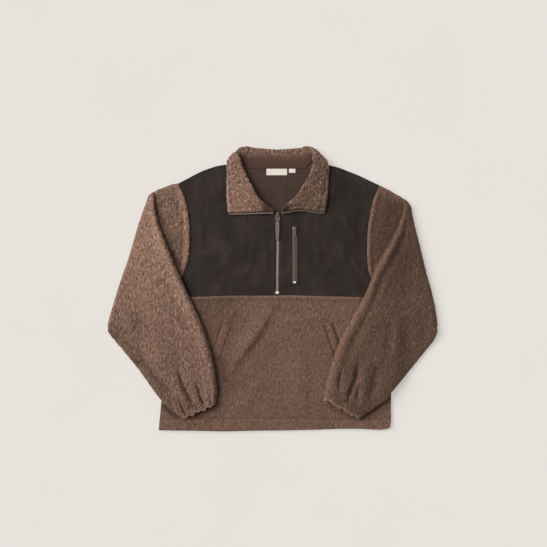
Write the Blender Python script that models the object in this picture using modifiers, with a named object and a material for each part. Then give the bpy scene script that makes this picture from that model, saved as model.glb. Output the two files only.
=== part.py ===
# Half-zip fleece pullover laid on its back, both sleeves folded over the front.
# Sizes are in millimetres and are turned to metres where a mesh is made.
# Frame: X to the viewer's right, Y towards the collar, Z up from the surface it lies on.
# The zip runs along X = 0 and the origin is on the underside of the back panel.
import math

import bmesh
import bpy
from mathutils import Matrix, Vector

MM = 0.001

# ---------------------------------------------------------------- named sizes
PILE_WALL = 3.0        # pile fleece, knit ground and pile together
SHELL_WALL = 1.5       # woven yoke shell
COLLAR_WALL = 3.2      # pile fleece collar
SEAM_GAP = 0.3         # air left between two sewn pieces
PANEL_TOP_EDGE = 6.6   # height of the front's outer face along its edges
PANEL_SWELL = 1.8      # how much higher it lies in the middle
YOKE_STEP = 0.6        # the thin yoke lies this much lower than the fleece
COLLAR_LIFT = 4.2      # the neck lies on the turned-down collar behind it

HEM_Y = -338.4
YOKE_SEAM_Y = -14.4
NECK_BACK_Y = 291.6

SLEEVE_STACK = 7.6     # two walls of a flattened sleeve and the air between
FOLD_CLEAR = 1.4       # inner radius of the fold along the sleeve
SLEEVE_REST = SLEEVE_STACK + 2.0 * FOLD_CLEAR   # underside of the folded-over part
SLEEVE_FLOOR = 0.3     # the same beside the body, where it sinks to the surface
LIE = 0.12             # the rounded long edges just touch the surface
SINK_RUN = 45.0        # distance over which it sinks

ZIP_SLIT_HALF = 3.8
ZIP_TAPE_WIDTH = 24.0
ZIP_TAPE_THICK = 0.8
ZIP_COIL_WIDTH = 5.0
ZIP_TOP_Y = 181.0
ZIP_END_Y = -4.0

CHEST_ZIP_X = 41.0
CHEST_ZIP_TOP_Y = 150.0
CHEST_ZIP_END_Y = 17.0
CHEST_TAPE_WIDTH = 11.0

LABEL = dict(x=(-26.6, 22.8), y=(275.5, 291.0), thick=0.8)
SIZE_TAB = dict(x=(27.4, 43.0), y=(281.3, 291.2), thick=0.8)

# ---------------------------------------------------------------- tables
# Armhole seam, shoulder tip to underarm; row 8 is where the yoke seam meets it.
ARMHOLE = {
    # side: (x, y)
    "left": ((-236.4, 256.8), (-222.3, 222.0), (-214.5, 186.0), (-210.5, 150.0),
             (-210.0, 114.0), (-213.0, 78.0), (-223.0, 44.0), (-238.0, 13.0),
             (-256.0, YOKE_SEAM_Y), (-286.8, -46.8)),
    "right": ((242.6, 252.4), (230.8, 219.0), (222.5, 184.0), (217.0, 148.0),
              (215.0, 112.0), (214.8, 76.0), (219.5, 42.0), (233.0, 12.0),
              (252.0, YOKE_SEAM_Y), (286.8, -46.8)),
}
YOKE_ROW = 8

# Side seams below the underarm: y, left x, right x
SIDES = ((-46.8, -286.8, 286.8), (-110.0, -283.5, 280.5), (-190.0, -280.0, 275.0),
         (-268.8, -279.2, 272.6), (-320.0, -284.0, 272.4), (HEM_Y, -285.2, 270.5))

# Back panel's upper edge: x, y (tip, shoulder, neck point, neck, ... and back)
BACK_TOP = ((-236.4, 256.8), (-190.0, 280.8), (-146.0, 297.5), (-103.0, 301.0),
            (-70.0, NECK_BACK_Y), (-35.0, NECK_BACK_Y - 0.6), (0.0, NECK_BACK_Y - 1.0),
            (35.0, NECK_BACK_Y - 0.6), (68.0, NECK_BACK_Y), (104.0, 301.0),
            (148.0, 293.6), (196.0, 273.0), (242.6, 252.4))

# Front neck edge, from the slider to the neck point (left; the right is mirrored)
NECK_FRONT = ((ZIP_SLIT_HALF + 1.0, 178.0), (30.0, 187.0), (55.0, 205.0), (74.0, 236.0),
              (89.0, 266.0), (98.0, 287.0), (103.0, 301.0))

# Sleeves, folded-over part: inner edge x, y, then outer edge x, y, from the fold to the cuff
SLEEVE_ROWS = {
    "left": ((-286.8, 163.2, -400.5, -107.0), (-265.2, 105.6, -384.0, -130.0),
             (-241.2, 48.0, -362.2, -155.0), (-214.8, -9.6, -347.0, -174.0),
             (-188.4, -67.2, -331.2, -193.0), (-166.8, -124.8, -310.0, -223.0),
             (-152.4, -182.4, -286.0, -257.0), (-145.2, -240.0, -250.0, -288.0),
             (-149.3, -276.0, -225.1, -309.1)),
    "right": ((288.0, 147.0, 380.0, -107.0), (263.0, 98.0, 361.0, -139.0),
              (236.0, 51.0, 339.0, -166.0), (213.0, -4.0, 324.0, -184.0),
              (183.0, -60.0, 308.0, -204.0), (155.0, -110.0, 290.0, -229.0),
              (133.0, -166.0, 268.0, -257.0), (118.0, -222.0, 232.0, -283.0),
              (112.0, -262.0, 193.2, -309.6)),
}
# Outer silhouette of each fold: top x, y, bottom x, y
FOLD_LINE = {"left": (-309.0, 232.0, -407.5, -90.0), "right": (315.0, 206.0, 386.0, -88.0)}

# Collar sections for the left half, centre front to centre back.
# seam x, y, z / roll x, y, z / edge x, y, z / turn of the fall about the roll / roll radius
COLLAR_ROWS = (
    (-8.6, 180.0, 9.7, -6.4, 191.0, 12.1, -118.8, 184.8, 13.0, 0.0, 2.5),
    (-27.6, 190.4, 9.7, -22.8, 202.6, 12.1, -121.4, 206.0, 13.0, 0.0, 2.5),
    (-51.8, 208.0, 9.7, -42.0, 221.4, 12.1, -122.4, 228.0, 13.0, 0.0, 2.5),
    (-70.4, 238.2, 9.7, -56.4, 249.6, 12.1, -122.4, 250.0, 13.1, 0.0, 2.5),
    (-85.6, 267.6, 9.7, -70.8, 276.0, 12.1, -121.9, 272.0, 13.6, 0.0, 2.5),
    (-94.6, 288.4, 9.7, -82.5, 300.0, 12.4, -121.0, 290.0, 14.6, 0.0, 2.6),
    (-98.0, 301.0, 9.9, -88.0, 320.0, 12.8, -119.0, 300.5, 14.8, 12.0, 2.8),
    (-98.5, 309.5, 9.4, -92.0, 333.0, 12.0, -119.8, 306.0, 12.6, 40.0, 3.4),
    (-95.5, 313.0, 8.0, -88.5, 342.5, 9.8, -120.4, 308.8, 8.2, 80.0, 4.0),
    (-88.5, 310.5, 6.6, -79.5, 346.0, 7.4, -118.6, 307.4, 3.8, 118.0, 4.0),
    (-79.5, 301.5, 5.8, -69.0, 345.5, 5.4, -111.5, 302.6, 1.9, 155.0, 3.3),
    (-68.0, 292.6, 5.7, -57.0, 342.6, 4.3, -92.0, 277.0, 1.7, 178.0, 2.6),
    (-34.0, 291.8, 5.7, -30.0, 340.4, 4.3, -46.0, 265.0, 1.7, 180.0, 2.5),
    (0.0, 291.4, 5.7, 0.0, 338.4, 4.3, 0.0, 262.0, 1.7, 180.0, 2.5),
)
# The right wing differs from the mirrored left one by these: roll dx, dy, edge dx, dy
COLLAR_RIGHT = ((2.0, 0.0, -4.0, 2.4), (2.5, 5.0, -3.5, 0.0), (1.5, 8.0, -1.5, -1.0),
                (2.0, 5.0, 0.0, 0.0), (2.0, 1.0, 1.5, 0.0), (1.0, 0.0, 3.5, 0.0),
                (0.0, 0.0, 5.0, 0.0), (0.0, 0.0, 5.0, 0.0), (0.0, 0.0, 5.0, 0.0),
                (0.0, 0.0, 4.5, 0.0), (0.0, 0.0, 3.0, 0.0), (0.0, 0.0, 0.0, 0.0),
                (0.0, 0.0, 0.0, 0.0), (0.0, 0.0, 0.0, 0.0))

# Hand pocket welts: upper inner corner x, y, lower end x, y of the welt's centre line, width
WELTS = {"left": (-120.5, -81.0, -150.0, -162.0, 20.0),
         "right": (120.5, -81.0, 150.0, -162.0, 17.0)}


# ---------------------------------------------------------------- small maths
def smooth(t):
    t = min(1.0, max(0.0, t))
    return t * t * (3.0 - 2.0 * t)


def lerp(a, b, t):
    return a + (b - a) * t


def table_at(table, t):
    """Catmull-Rom reading of a table's rows at row number t."""
    last = len(table) - 1
    t = min(float(last), max(0.0, t))
    i = min(last - 1, int(t))
    f = t - i
    p0 = table[max(0, i - 1)]
    p1 = table[i]
    p2 = table[i + 1]
    p3 = table[min(last, i + 2)]
    out = []
    for a, b, c, d in zip(p0, p1, p2, p3):
        out.append(0.5 * (2 * b + (c - a) * f + (2 * a - 5 * b + 4 * c - d) * f * f
                          + (3 * b - a - 3 * c + d) * f ** 3))
    return tuple(out)


def line_at(table, key):
    """Straight reading of a table whose first column falls from row to row."""
    for a, b in zip(table, table[1:]):
        if key >= b[0] or b is table[-1]:
            f = (key - a[0]) / (b[0] - a[0])
            f = min(1.0, max(0.0, f))
            return tuple(lerp(p, q, f) for p, q in zip(a[1:], b[1:]))


def edge_x(y):
    """Left and right limit of the body at height y."""
    if y <= SIDES[0][0]:
        return line_at(SIDES, y)
    out = []
    for side in ("left", "right"):
        rows = tuple((p[1], p[0]) for p in ARMHOLE[side])
        out.append(line_at(rows, y)[0])
    return tuple(out)


# ---------------------------------------------------------------- heights
def neck_lift(x, y):
    """The body near the neck lies on the collar that is turned down behind it."""
    return COLLAR_LIFT * smooth((y - 212.0) / 42.0) * smooth((172.0 - abs(x)) / 44.0)


def swell(x, y):
    left, right = edge_x(y)
    across = smooth((x - left) / 62.0) * smooth((right - x) / 62.0)
    return across * smooth((y - HEM_Y) / 60.0) * smooth((300.0 - y) / 60.0)


def panel_top(x, y):
    """Outer face of the front fleece."""
    return PANEL_TOP_EDGE + PANEL_SWELL * swell(x, y) + neck_lift(x, y)


def yoke_top(x, y):
    return panel_top(x, y) - YOKE_STEP


def side_line(side, y):
    left, right = line_at(SIDES, min(y, SIDES[0][0]))
    return left if side == "left" else right


def sleeve_under(side, x, y):
    """Underside of the folded-over sleeve: on the body, and on the surface beside it."""
    sx = -1.0 if side == "left" else 1.0
    beside = sx * x - sx * side_line(side, y)
    ux, uy = ARMHOLE[side][-1]
    bx, by = FOLD_LINE[side][2:]
    dx, dy = ux - bx, uy - by
    n = math.hypot(dx, dy)
    below = sx * ((x - bx) * dy - (y - by) * dx) / n * -1.0
    free = min(beside, abs(below) if below > 0 else 0.0)
    if free <= 0.0:
        return SLEEVE_REST
    return lerp(SLEEVE_REST, SLEEVE_FLOOR, smooth(free / SINK_RUN))


# ---------------------------------------------------------------- building
for old in list(bpy.data.objects):
    bpy.data.objects.remove(old, do_unlink=True)
PARTS = bpy.data.collections.new("half_zip_fleece_pullover")
CUTTERS = bpy.data.collections.new("cutters")
bpy.context.scene.collection.children.link(PARTS)
bpy.context.scene.collection.children.link(CUTTERS)


def srgb(r, g, b):
    def lin(c):
        c /= 255.0
        return c / 12.92 if c <= 0.04045 else ((c + 0.055) / 1.055) ** 2.4
    return lin(r), lin(g), lin(b), 1.0


def material(name, colour, rough, metal=0.0):
    m = bpy.data.materials.new(name)
    m.use_nodes = True
    p = m.node_tree.nodes["Principled BSDF"]
    p.inputs["Base Color"].default_value = colour
    p.inputs["Roughness"].default_value = rough
    p.inputs["Metallic"].default_value = metal
    m.diffuse_color = colour
    return m


def put(obj, mat, collection=PARTS):
    obj.data.materials.append(mat)
    collection.objects.link(obj)
    return obj


def sheet(name, columns, rows, point, wall, mat, ring=False, even=True):
    """Open grid whose corners are point(column, row), given its wall by Solidify."""
    bm = bmesh.new()
    bmesh.ops.create_grid(bm, x_segments=columns, y_segments=rows, size=1.0)
    for v in bm.verts:
        i = round((v.co.x + 1.0) / 2.0 * columns)
        j = round((v.co.y + 1.0) / 2.0 * rows)
        v.co = Vector(point(i, j)) * MM
    if ring:
        bmesh.ops.remove_doubles(bm, verts=bm.verts, dist=0.00005)
    bmesh.ops.recalc_face_normals(bm, faces=bm.faces)
    mesh = bpy.data.meshes.new(name)
    bm.to_mesh(mesh)
    bm.free()
    mesh.shade_smooth()
    obj = bpy.data.objects.new(name, mesh)
    put(obj, mat)
    mod = obj.modifiers.new("wall", "SOLIDIFY")
    mod.thickness = wall * MM
    mod.offset = 0.0
    mod.use_even_offset = even
    return obj


# ---------------------------------------------------------------- body
def back_edge(side, j):
    """Row j of the back: 0 to 9 down the armhole, then down the side."""
    if j <= 9:
        return ARMHOLE[side][j]
    y = lerp(SIDES[0][0], HEM_Y, (j - 9) / 8.0)
    left, right = line_at(SIDES, y)
    return (left if side == "left" else right), y


def inset(side, x, amount=SEAM_GAP / 2.0):
    return x + amount if side == "left" else x - amount


def back_point(i, j):
    j = 17 - j
    s = i / 12.0
    (lx, ly), (rx, ry) = back_edge("left", j), back_edge("right", j)
    if j >= 9:
        ry = ly
    lx, rx = inset("left", lx), inset("right", rx)
    x, y = lerp(lx, rx, s), lerp(ly, ry, s)
    pull = max(0.0, 1.0 - j / 5.0) ** 1.6
    tx, ty = BACK_TOP[i]
    lin = lerp(ARMHOLE["left"][0][1], ARMHOLE["right"][0][1], s)
    x = lerp(x, lerp(lx, rx, (tx - BACK_TOP[0][0]) / (BACK_TOP[-1][0] - BACK_TOP[0][0])), pull)
    y += (ty - lin) * pull
    return x, y, PILE_WALL / 2.0 + neck_lift(x, y)


def front_row_y(j):
    """Row j of the lower front from the hem up to the yoke seam."""
    return lerp(HEM_Y, SIDES[0][0], j / 8.0) if j <= 8 else YOKE_SEAM_Y - SEAM_GAP


def front_point(i, j):
    s = i / 12.0
    y = front_row_y(j)
    if j <= 8:
        left, right = line_at(SIDES, y)
    else:
        left, right = ARMHOLE["left"][YOKE_ROW][0], ARMHOLE["right"][YOKE_ROW][0]
    x = lerp(inset("left", left), inset("right", right), s)
    return x, y, panel_top(x, y) - PILE_WALL / 2.0


def yoke_point(side, i, j):
    """Columns from the zip to the armhole, rows from the seam up to the shoulder."""
    sx = -1.0 if side == "left" else 1.0
    ax, ay = ARMHOLE[side][YOKE_ROW - j]
    ax = inset(side, ax)
    cf_rows = 4
    if j <= cf_rows:
        cx, cy = ZIP_SLIT_HALF, lerp(YOKE_SEAM_Y, NECK_FRONT[0][1], j / float(cf_rows))
        if j == cf_rows:
            cx = NECK_FRONT[0][0]
    else:
        cx, cy = table_at(NECK_FRONT, (j - cf_rows) * 6.0 / 4.0)
    s = i / 7.0
    x, y = lerp(sx * cx, ax, s), lerp(cy, ay, s)
    if side == "left":
        bulge = 20.0 * math.sin(math.pi * s ** 0.9) ** 1.2 * 0.55
    else:
        bulge = 13.0 * math.sin(math.pi * s ** 0.9) ** 1.2 * 0.55
    y += bulge * max(0.0, j - 3.0) / 5.0
    return x, y, yoke_top(x, y) - SHELL_WALL / 2.0


# ---------------------------------------------------------------- sleeves
ACROSS = 9       # cells across the flat of a sleeve, one for each armhole row
TURN = 3         # cells round each of its two long edges
BASE_ROWS = 3
ARC_ROWS = 5
RING = 2 * (ACROSS + TURN)


def ring_place(k):
    """Place in the flattened section: cell across (0 to 9), end turn angle, upper or lower."""
    k = k % RING
    if k <= ACROSS:
        return k / float(ACROSS), None, 1.0
    if k < ACROSS + TURN:
        return 1.0, (k - ACROSS) / float(TURN), 0.0
    if k <= 2 * ACROSS + TURN:
        return 1.0 - (k - ACROSS - TURN) / float(ACROSS), None, -1.0
    return 0.0, (k - 2 * ACROSS - TURN) / float(TURN), 0.0


def section_point(k, first, last, mid=None):
    """Plan point and height n (0 at the outer face of the lower wall) in one section.

    first and last are the section's outer ends; mid maps 0..1 to plan points between."""
    half = (SLEEVE_STACK - PILE_WALL) / 2.0
    end = PILE_WALL / 2.0 + half
    s, turn, level = ring_place(k)
    dx, dy = last[0] - first[0], last[1] - first[1]
    width = math.hypot(dx, dy)
    e = (dx / width, dy / width)
    if mid is None:
        run = lerp(end, width - end, s)
        x, y = first[0] + e[0] * run, first[1] + e[1] * run
    else:
        x, y = mid(s)
        shift = end * (1.0 - 2.0 * s) if s in (0.0, 1.0) else 0.0
        x, y = x + e[0] * shift, y + e[1] * shift
    if turn is None:
        return x, y, SLEEVE_STACK / 2.0 + level * half
    angle = math.pi * turn
    if s == 1.0:
        x, y = x + e[0] * half * math.sin(angle), y + e[1] * half * math.sin(angle)
        return x, y, SLEEVE_STACK / 2.0 + half * math.cos(angle)
    x, y = x - e[0] * half * math.sin(angle), y - e[1] * half * math.sin(angle)
    return x, y, SLEEVE_STACK / 2.0 - half * math.cos(angle)


def fold_axis(side):
    x0, y0, x1, y1 = FOLD_LINE[side]
    dx, dy = x1 - x0, y1 - y0
    n = math.hypot(dx, dy)
    sx = -1.0 if side == "left" else 1.0
    out = (sx * abs(dy) / n, sx * dx / n * (1.0 if dy < 0 else -1.0))
    reach = FOLD_CLEAR + SLEEVE_STACK
    return ((x0 - out[0] * reach, y0 - out[1] * reach),
            (x1 - out[0] * reach, y1 - out[1] * reach), out)


def sleeve_point(side, k, j):
    sx = -1.0 if side == "left" else 1.0
    top, bottom, out = fold_axis(side)
    if j < BASE_ROWS:
        f = j / float(BASE_ROWS)
        arm = ARMHOLE[side]

        def mid(s):
            ax, ay = arm[int(round(s * ACROSS))]
            fx, fy = lerp(top[0], bottom[0], s), lerp(top[1], bottom[1], s)
            return lerp(ax + sx * SEAM_GAP, fx, f), lerp(ay, fy, f)

        x, y, n = section_point(k, mid(0.0), mid(1.0), mid)
        return x, y, n + LIE
    if j <= BASE_ROWS + ARC_ROWS:
        x, y, n = section_point(k, top, bottom)
        theta = math.pi * (j - BASE_ROWS) / float(ARC_ROWS)
        radius = FOLD_CLEAR + SLEEVE_STACK - n
        x += out[0] * math.sin(theta) * radius
        y += out[1] * math.sin(theta) * radius
        return x, y, LIE + FOLD_CLEAR + SLEEVE_STACK - math.cos(theta) * radius
    ix, iy, ox, oy = SLEEVE_ROWS[side][j - BASE_ROWS - ARC_ROWS - 1]
    x, y, n = section_point(k, (ix, iy), (ox, oy))
    return x, y, LIE + sleeve_under(side, x, y) + SLEEVE_STACK - n


SLEEVE_LENGTH_ROWS = BASE_ROWS + ARC_ROWS + len(SLEEVE_ROWS["left"])


# ---------------------------------------------------------------- collar
STAND_CELLS, ROLL_CELLS, FALL_CELLS = 2, 4, 4
COLLAR_CELLS = STAND_CELLS + ROLL_CELLS + FALL_CELLS
COLLAR_STATIONS = 26


def collar_row(t):
    """Section at t = -1 (left centre front) through 0 (centre back) to 1 (right)."""
    last = len(COLLAR_ROWS) - 1
    at = (1.0 - abs(t)) * last
    row = list(table_at(COLLAR_ROWS, at))
    if t > 0.0:
        d = table_at(COLLAR_RIGHT, at)
        for n in (0, 3, 6):
            row[n] = -row[n]
        row[3] += d[0]
        row[4] += d[1]
        row[6] += d[2]
        row[7] += d[3]
    return row


def collar_point(t, c):
    sx_, sy_, sz_, rx, ry, rz, ex, ey, ez, turn, radius = collar_row(t)
    seam, roll, edge = Vector((sx_, sy_, sz_)), Vector((rx, ry, rz)), Vector((ex, ey, ez))
    a = Vector((rx - sx_, ry - sy_, 0.0)).normalized()
    outward = Vector((-a.y, a.x, 0.0)) if t <= 0.0 else Vector((a.y, -a.x, 0.0))
    phi = math.radians(turn)
    w = Vector((0, 0, 1)) * math.cos(phi) + outward * math.sin(phi)
    centre = roll - a * radius
    if c <= STAND_CELLS:
        return seam.lerp(centre - w * radius, c / float(STAND_CELLS))
    if c <= STAND_CELLS + ROLL_CELLS:
        ang = math.pi * (c - STAND_CELLS) / float(ROLL_CELLS)
        return centre - w * radius * math.cos(ang) + a * radius * math.sin(ang)
    return (centre + w * radius).lerp(edge, (c - STAND_CELLS - ROLL_CELLS) / float(FALL_CELLS))


# ---------------------------------------------------------------- materials
M_FLEECE = material("pile_fleece", srgb(118, 92, 79), 0.95)
M_YOKE = material("yoke_shell", srgb(55, 46, 42), 0.62)
M_TAPE = material("zip_tape", srgb(92, 82, 74), 0.8)
M_COIL = material("zip_coil", srgb(128, 112, 100), 0.5)
M_METAL = material("metal", srgb(176, 172, 168), 0.32, 1.0)
M_TAB = material("pull_tab", srgb(112, 98, 88), 0.6)
M_LABEL = material("label", srgb(226, 220, 210), 0.75)

# ---------------------------------------------------------------- cloth pieces
sheet("back", 12, 17, back_point, PILE_WALL, M_FLEECE)
sheet("front_lower", 12, 9, front_point, PILE_WALL, M_FLEECE)
for SIDE in ("left", "right"):
    sheet("yoke_" + SIDE, 7, 8, lambda i, j, s=SIDE: yoke_point(s, i, j), SHELL_WALL, M_YOKE)
    sheet("sleeve_" + SIDE, RING, SLEEVE_LENGTH_ROWS,
          lambda k, j, s=SIDE: sleeve_point(s, k, j), PILE_WALL, M_FLEECE, ring=True, even=False)
sheet("collar", COLLAR_STATIONS, COLLAR_CELLS,
      lambda i, c: collar_point(-1.0 + 2.0 * i / COLLAR_STATIONS, c), COLLAR_WALL, M_FLEECE,
      even=False)


# ---------------------------------------------------------------- what lies on a panel
def strip(name, start, stop, width, cells, height, wall, mat, columns=2):
    """Strip along start -> stop whose middle surface is height(x, y)."""
    dx, dy = stop[0] - start[0], stop[1] - start[1]
    n = math.hypot(dx, dy)
    e, side = (dx / n, dy / n), (-dy / n, dx / n)

    def point(i, j):
        across = width * (i / float(columns) - 0.5)
        along = n * j / float(cells)
        x = start[0] + e[0] * along + side[0] * across
        y = start[1] + e[1] * along + side[1] * across
        return x, y, height(x, y)
    return sheet(name, columns, cells, point, wall, mat)


strip("main_zip_tape", (0.0, ZIP_TOP_Y - 4.0), (0.0, ZIP_END_Y - 8.0), ZIP_TAPE_WIDTH, 14,
      lambda x, y: yoke_top(x, y) - SHELL_WALL - 0.4 - ZIP_TAPE_THICK / 2.0,
      ZIP_TAPE_THICK, M_TAPE)
strip("main_zip_coil", (0.0, ZIP_TOP_Y - 3.0), (0.0, ZIP_END_Y - 7.0), ZIP_COIL_WIDTH, 14,
      lambda x, y: yoke_top(0.0, y) - 0.3, 2.0, M_COIL)
strip("chest_zip_tape", (CHEST_ZIP_X, CHEST_ZIP_TOP_Y + 2.0), (CHEST_ZIP_X, CHEST_ZIP_END_Y - 1.0),
      CHEST_TAPE_WIDTH, 12, lambda x, y: yoke_top(x, y) + SEAM_GAP + 0.4, 0.8, M_TAPE)
for SIDE in ("left", "right"):
    X0, Y0, X1, Y1, WIDE = WELTS[SIDE]
    strip("pocket_welt_" + SIDE, (X0, Y0), (X1, Y1), WIDE, 6,
          lambda x, y: panel_top(x, y) + SEAM_GAP + 0.45, 0.8, M_FLEECE, columns=2)
for NAME, BOX in (("neck_label", LABEL), ("size_tab", SIZE_TAB)):
    (XA, XB), (YA, YB) = BOX["x"], BOX["y"]
    strip(NAME, ((XA + XB) / 2.0, YB), ((XA + XB) / 2.0, YA), XB - XA, 3,
          lambda x, y: PILE_WALL + neck_lift(x, y) + SEAM_GAP + 0.4, BOX["thick"], M_LABEL,
          columns=4)

# Zip halves that run on along the lower edge of each collar wing
for SIDE, T in (("left", -1.0), ("right", 1.0)):
    def wing_point(i, j, t=T):
        # beside the wing's front edge, 0.4 clear of its wall
        p = collar_point(t, lerp(STAND_CELLS + ROLL_CELLS + 0.15, COLLAR_CELLS, j / 8.0))
        return p.x, p.y - 0.4 - 3.6 * (i / 1.0), p.z - 0.3
    sheet("collar_zip_" + SIDE, 1, 8, wing_point, 1.6, M_COIL)


# ---------------------------------------------------------------- hard pieces
def outline(name, loops, thick, mat, collection=PARTS):
    """Flat outline in XY, thick along Z, centred on z = 0, in millimetres."""
    curve = bpy.data.curves.new(name, "CURVE")
    curve.dimensions = "2D"
    curve.fill_mode = "BOTH"
    curve.extrude = thick / 2.0 * MM
    for loop in loops:
        sp = curve.splines.new("POLY")
        sp.points.add(len(loop) - 1)
        for p, (x, y) in zip(sp.points, loop):
            p.co = (x * MM, y * MM, 0.0, 1.0)
        sp.use_cyclic_u = True
    obj = bpy.data.objects.new(name, curve)
    return put(obj, mat, collection)


def solid(obj):
    """The curve's evaluated shape as a mesh object of the same name."""
    bpy.context.view_layer.update()
    deps = bpy.context.evaluated_depsgraph_get()
    mesh = bpy.data.meshes.new_from_object(obj.evaluated_get(deps))
    bm = bmesh.new()
    bm.from_mesh(mesh)
    bmesh.ops.remove_doubles(bm, verts=bm.verts, dist=0.000005)
    bmesh.ops.recalc_face_normals(bm, faces=bm.faces)
    bm.to_mesh(mesh)
    bm.free()
    name, home, world = obj.name, obj.users_collection[0], obj.matrix_world.copy()
    bpy.data.objects.remove(obj, do_unlink=True)
    new = bpy.data.objects.new(name, mesh)
    new.matrix_world = world
    home.objects.link(new)
    return new


def rounded(w, h, r, cx=0.0, cy=0.0, steps=4):
    pts = []
    for qx, qy, a0 in ((1, 1, 0), (-1, 1, 90), (-1, -1, 180), (1, -1, 270)):
        for s in range(steps + 1):
            a = math.radians(a0 + 90.0 * s / steps)
            pts.append((cx + qx * (w / 2 - r) + r * math.cos(a),
                        cy + qy * (h / 2 - r) + r * math.sin(a)))
    return pts


def slider(name, x, y, base_z, wide, long_, arch_w, mat):
    """Top plate with an arched bail; the pull's bar passes under the arch along X."""
    bm = bmesh.new()
    bmesh.ops.create_cube(bm, size=1.0)
    for v in bm.verts:
        taper = 1.0 if v.co.y > 0 else 0.72
        v.co = Vector((v.co.x * wide * taper, v.co.y * long_, v.co.z * 1.6 + 0.8)) * MM
    mesh = bpy.data.meshes.new(name)
    bm.to_mesh(mesh)
    bm.free()
    plate = bpy.data.objects.new(name, mesh)
    put(plate, mat)
    plate.location = Vector((x, y, base_z)) * MM
    bev = plate.modifiers.new("edges", "BEVEL")
    bev.width = 0.5 * MM
    bev.segments = 2
    # side view of the bail: u along Y, v up; an arch with a window
    outer = [(-4.4, 1.0)] + [(-0.2 + 4.2 * math.cos(a), 1.4 + 3.9 * math.sin(a))
                             for a in (math.pi * (1 - q / 10.0) for q in range(11))] + [(4.0, 1.0)]
    window = [(-2.4, 1.9), (2.0, 1.9), (2.0, 3.3), (1.2, 4.1), (-1.6, 4.1), (-2.4, 3.3)]
    arch = outline(name + "_arch", (outer, window), arch_w, mat, CUTTERS)
    arch.matrix_world = (Matrix.Translation(Vector((x, y, base_z)) * MM)
                         @ Matrix(((0, 0, 1, 0), (1, 0, 0, 0), (0, 1, 0, 0), (0, 0, 0, 1))))
    arch = solid(arch)
    arch.hide_render = True
    arch.display_type = "WIRE"
    join = plate.modifiers.new("bail", "BOOLEAN")
    join.operation = "UNION"
    join.solver = "EXACT"
    join.object = arch
    return plate


BAR_Z = 3.0      # height of the pull's bar above the slider's base
MAIN_SLIDER_Y = 181.0
CHEST_SLIDER_Y = 147.0
MAIN_BASE = yoke_top(0.0, MAIN_SLIDER_Y) + 1.0
CHEST_BASE = yoke_top(CHEST_ZIP_X, CHEST_SLIDER_Y) + SEAM_GAP + 0.8 + 0.4
slider("main_slider", 0.0, MAIN_SLIDER_Y, MAIN_BASE, 7.8, 11.0, 2.6, M_METAL)
slider("chest_slider", CHEST_ZIP_X, CHEST_SLIDER_Y, CHEST_BASE, 8.6, 9.6, 2.4, M_METAL)


def hinge_empty(name, x, y, z, tilt):
    e = bpy.data.objects.new(name, None)
    PARTS.objects.link(e)
    e.location = Vector((x, y, z)) * MM
    e.rotation_euler = (math.radians(tilt), 0.0, 0.0)
    return e


MAIN_AXIS = (0.0, MAIN_SLIDER_Y - 0.4, MAIN_BASE + BAR_Z)
CHEST_AXIS = (CHEST_ZIP_X, CHEST_SLIDER_Y - 0.4, CHEST_BASE + BAR_Z)

# Main pull: a wire loop through the bail, and a flat tab that hangs from it.
main_hinge = hinge_empty("main_pull_axis", *MAIN_AXIS, 1.4)
LOOP_LONG, LOOP_WIDE, LOOP_WIRE = 16.0, 8.6, 1.7
loop = bpy.data.curves.new("main_pull_loop", "CURVE")
loop.dimensions = "3D"
loop.bevel_depth = LOOP_WIRE / 2.0 * MM
loop.bevel_resolution = 2
sp = loop.splines.new("POLY")
LOOP_PTS = rounded(LOOP_WIDE, LOOP_LONG, 2.6, 0.0, -LOOP_LONG / 2.0, steps=4)
sp.points.add(len(LOOP_PTS) - 1)
for P, (PX, PY) in zip(sp.points, LOOP_PTS):
    P.co = (PX * MM, PY * MM, 0.0, 1.0)
sp.use_cyclic_u = True
loop_obj = put(bpy.data.objects.new("main_pull_loop", loop), M_METAL)
loop_obj.parent = main_hinge

TAB_LONG, TAB_WIDE, TAB_THICK = 47.0, 9.6, 2.6
tab_bm = bmesh.new()
bmesh.ops.create_cube(tab_bm, size=1.0)
bmesh.ops.subdivide_edges(tab_bm, edges=[e for e in tab_bm.edges
                                         if abs(e.verts[0].co.y - e.verts[1].co.y) > 0.5],
                          cuts=5, use_grid_fill=True)
for v in tab_bm.verts:
    f = 0.5 - v.co.y
    wide = TAB_WIDE * (1.0 - 0.2 * smooth((f - 0.35) / 0.5))
    v.co = Vector((v.co.x * wide, -LOOP_LONG - LOOP_WIRE / 2.0 - 0.35 - f * TAB_LONG * 0.93,
                   v.co.z * TAB_THICK)) * MM
tab_mesh = bpy.data.meshes.new("main_pull_tab")
tab_bm.to_mesh(tab_mesh)
tab_bm.free()
tab_obj = put(bpy.data.objects.new("main_pull_tab", tab_mesh), M_TAB)
tab_obj.parent = main_hinge
tab_bevel = tab_obj.modifiers.new("edges", "BEVEL")
tab_bevel.width = 0.8 * MM
tab_bevel.segments = 2
tab_bevel.limit_method = "ANGLE"

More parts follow.
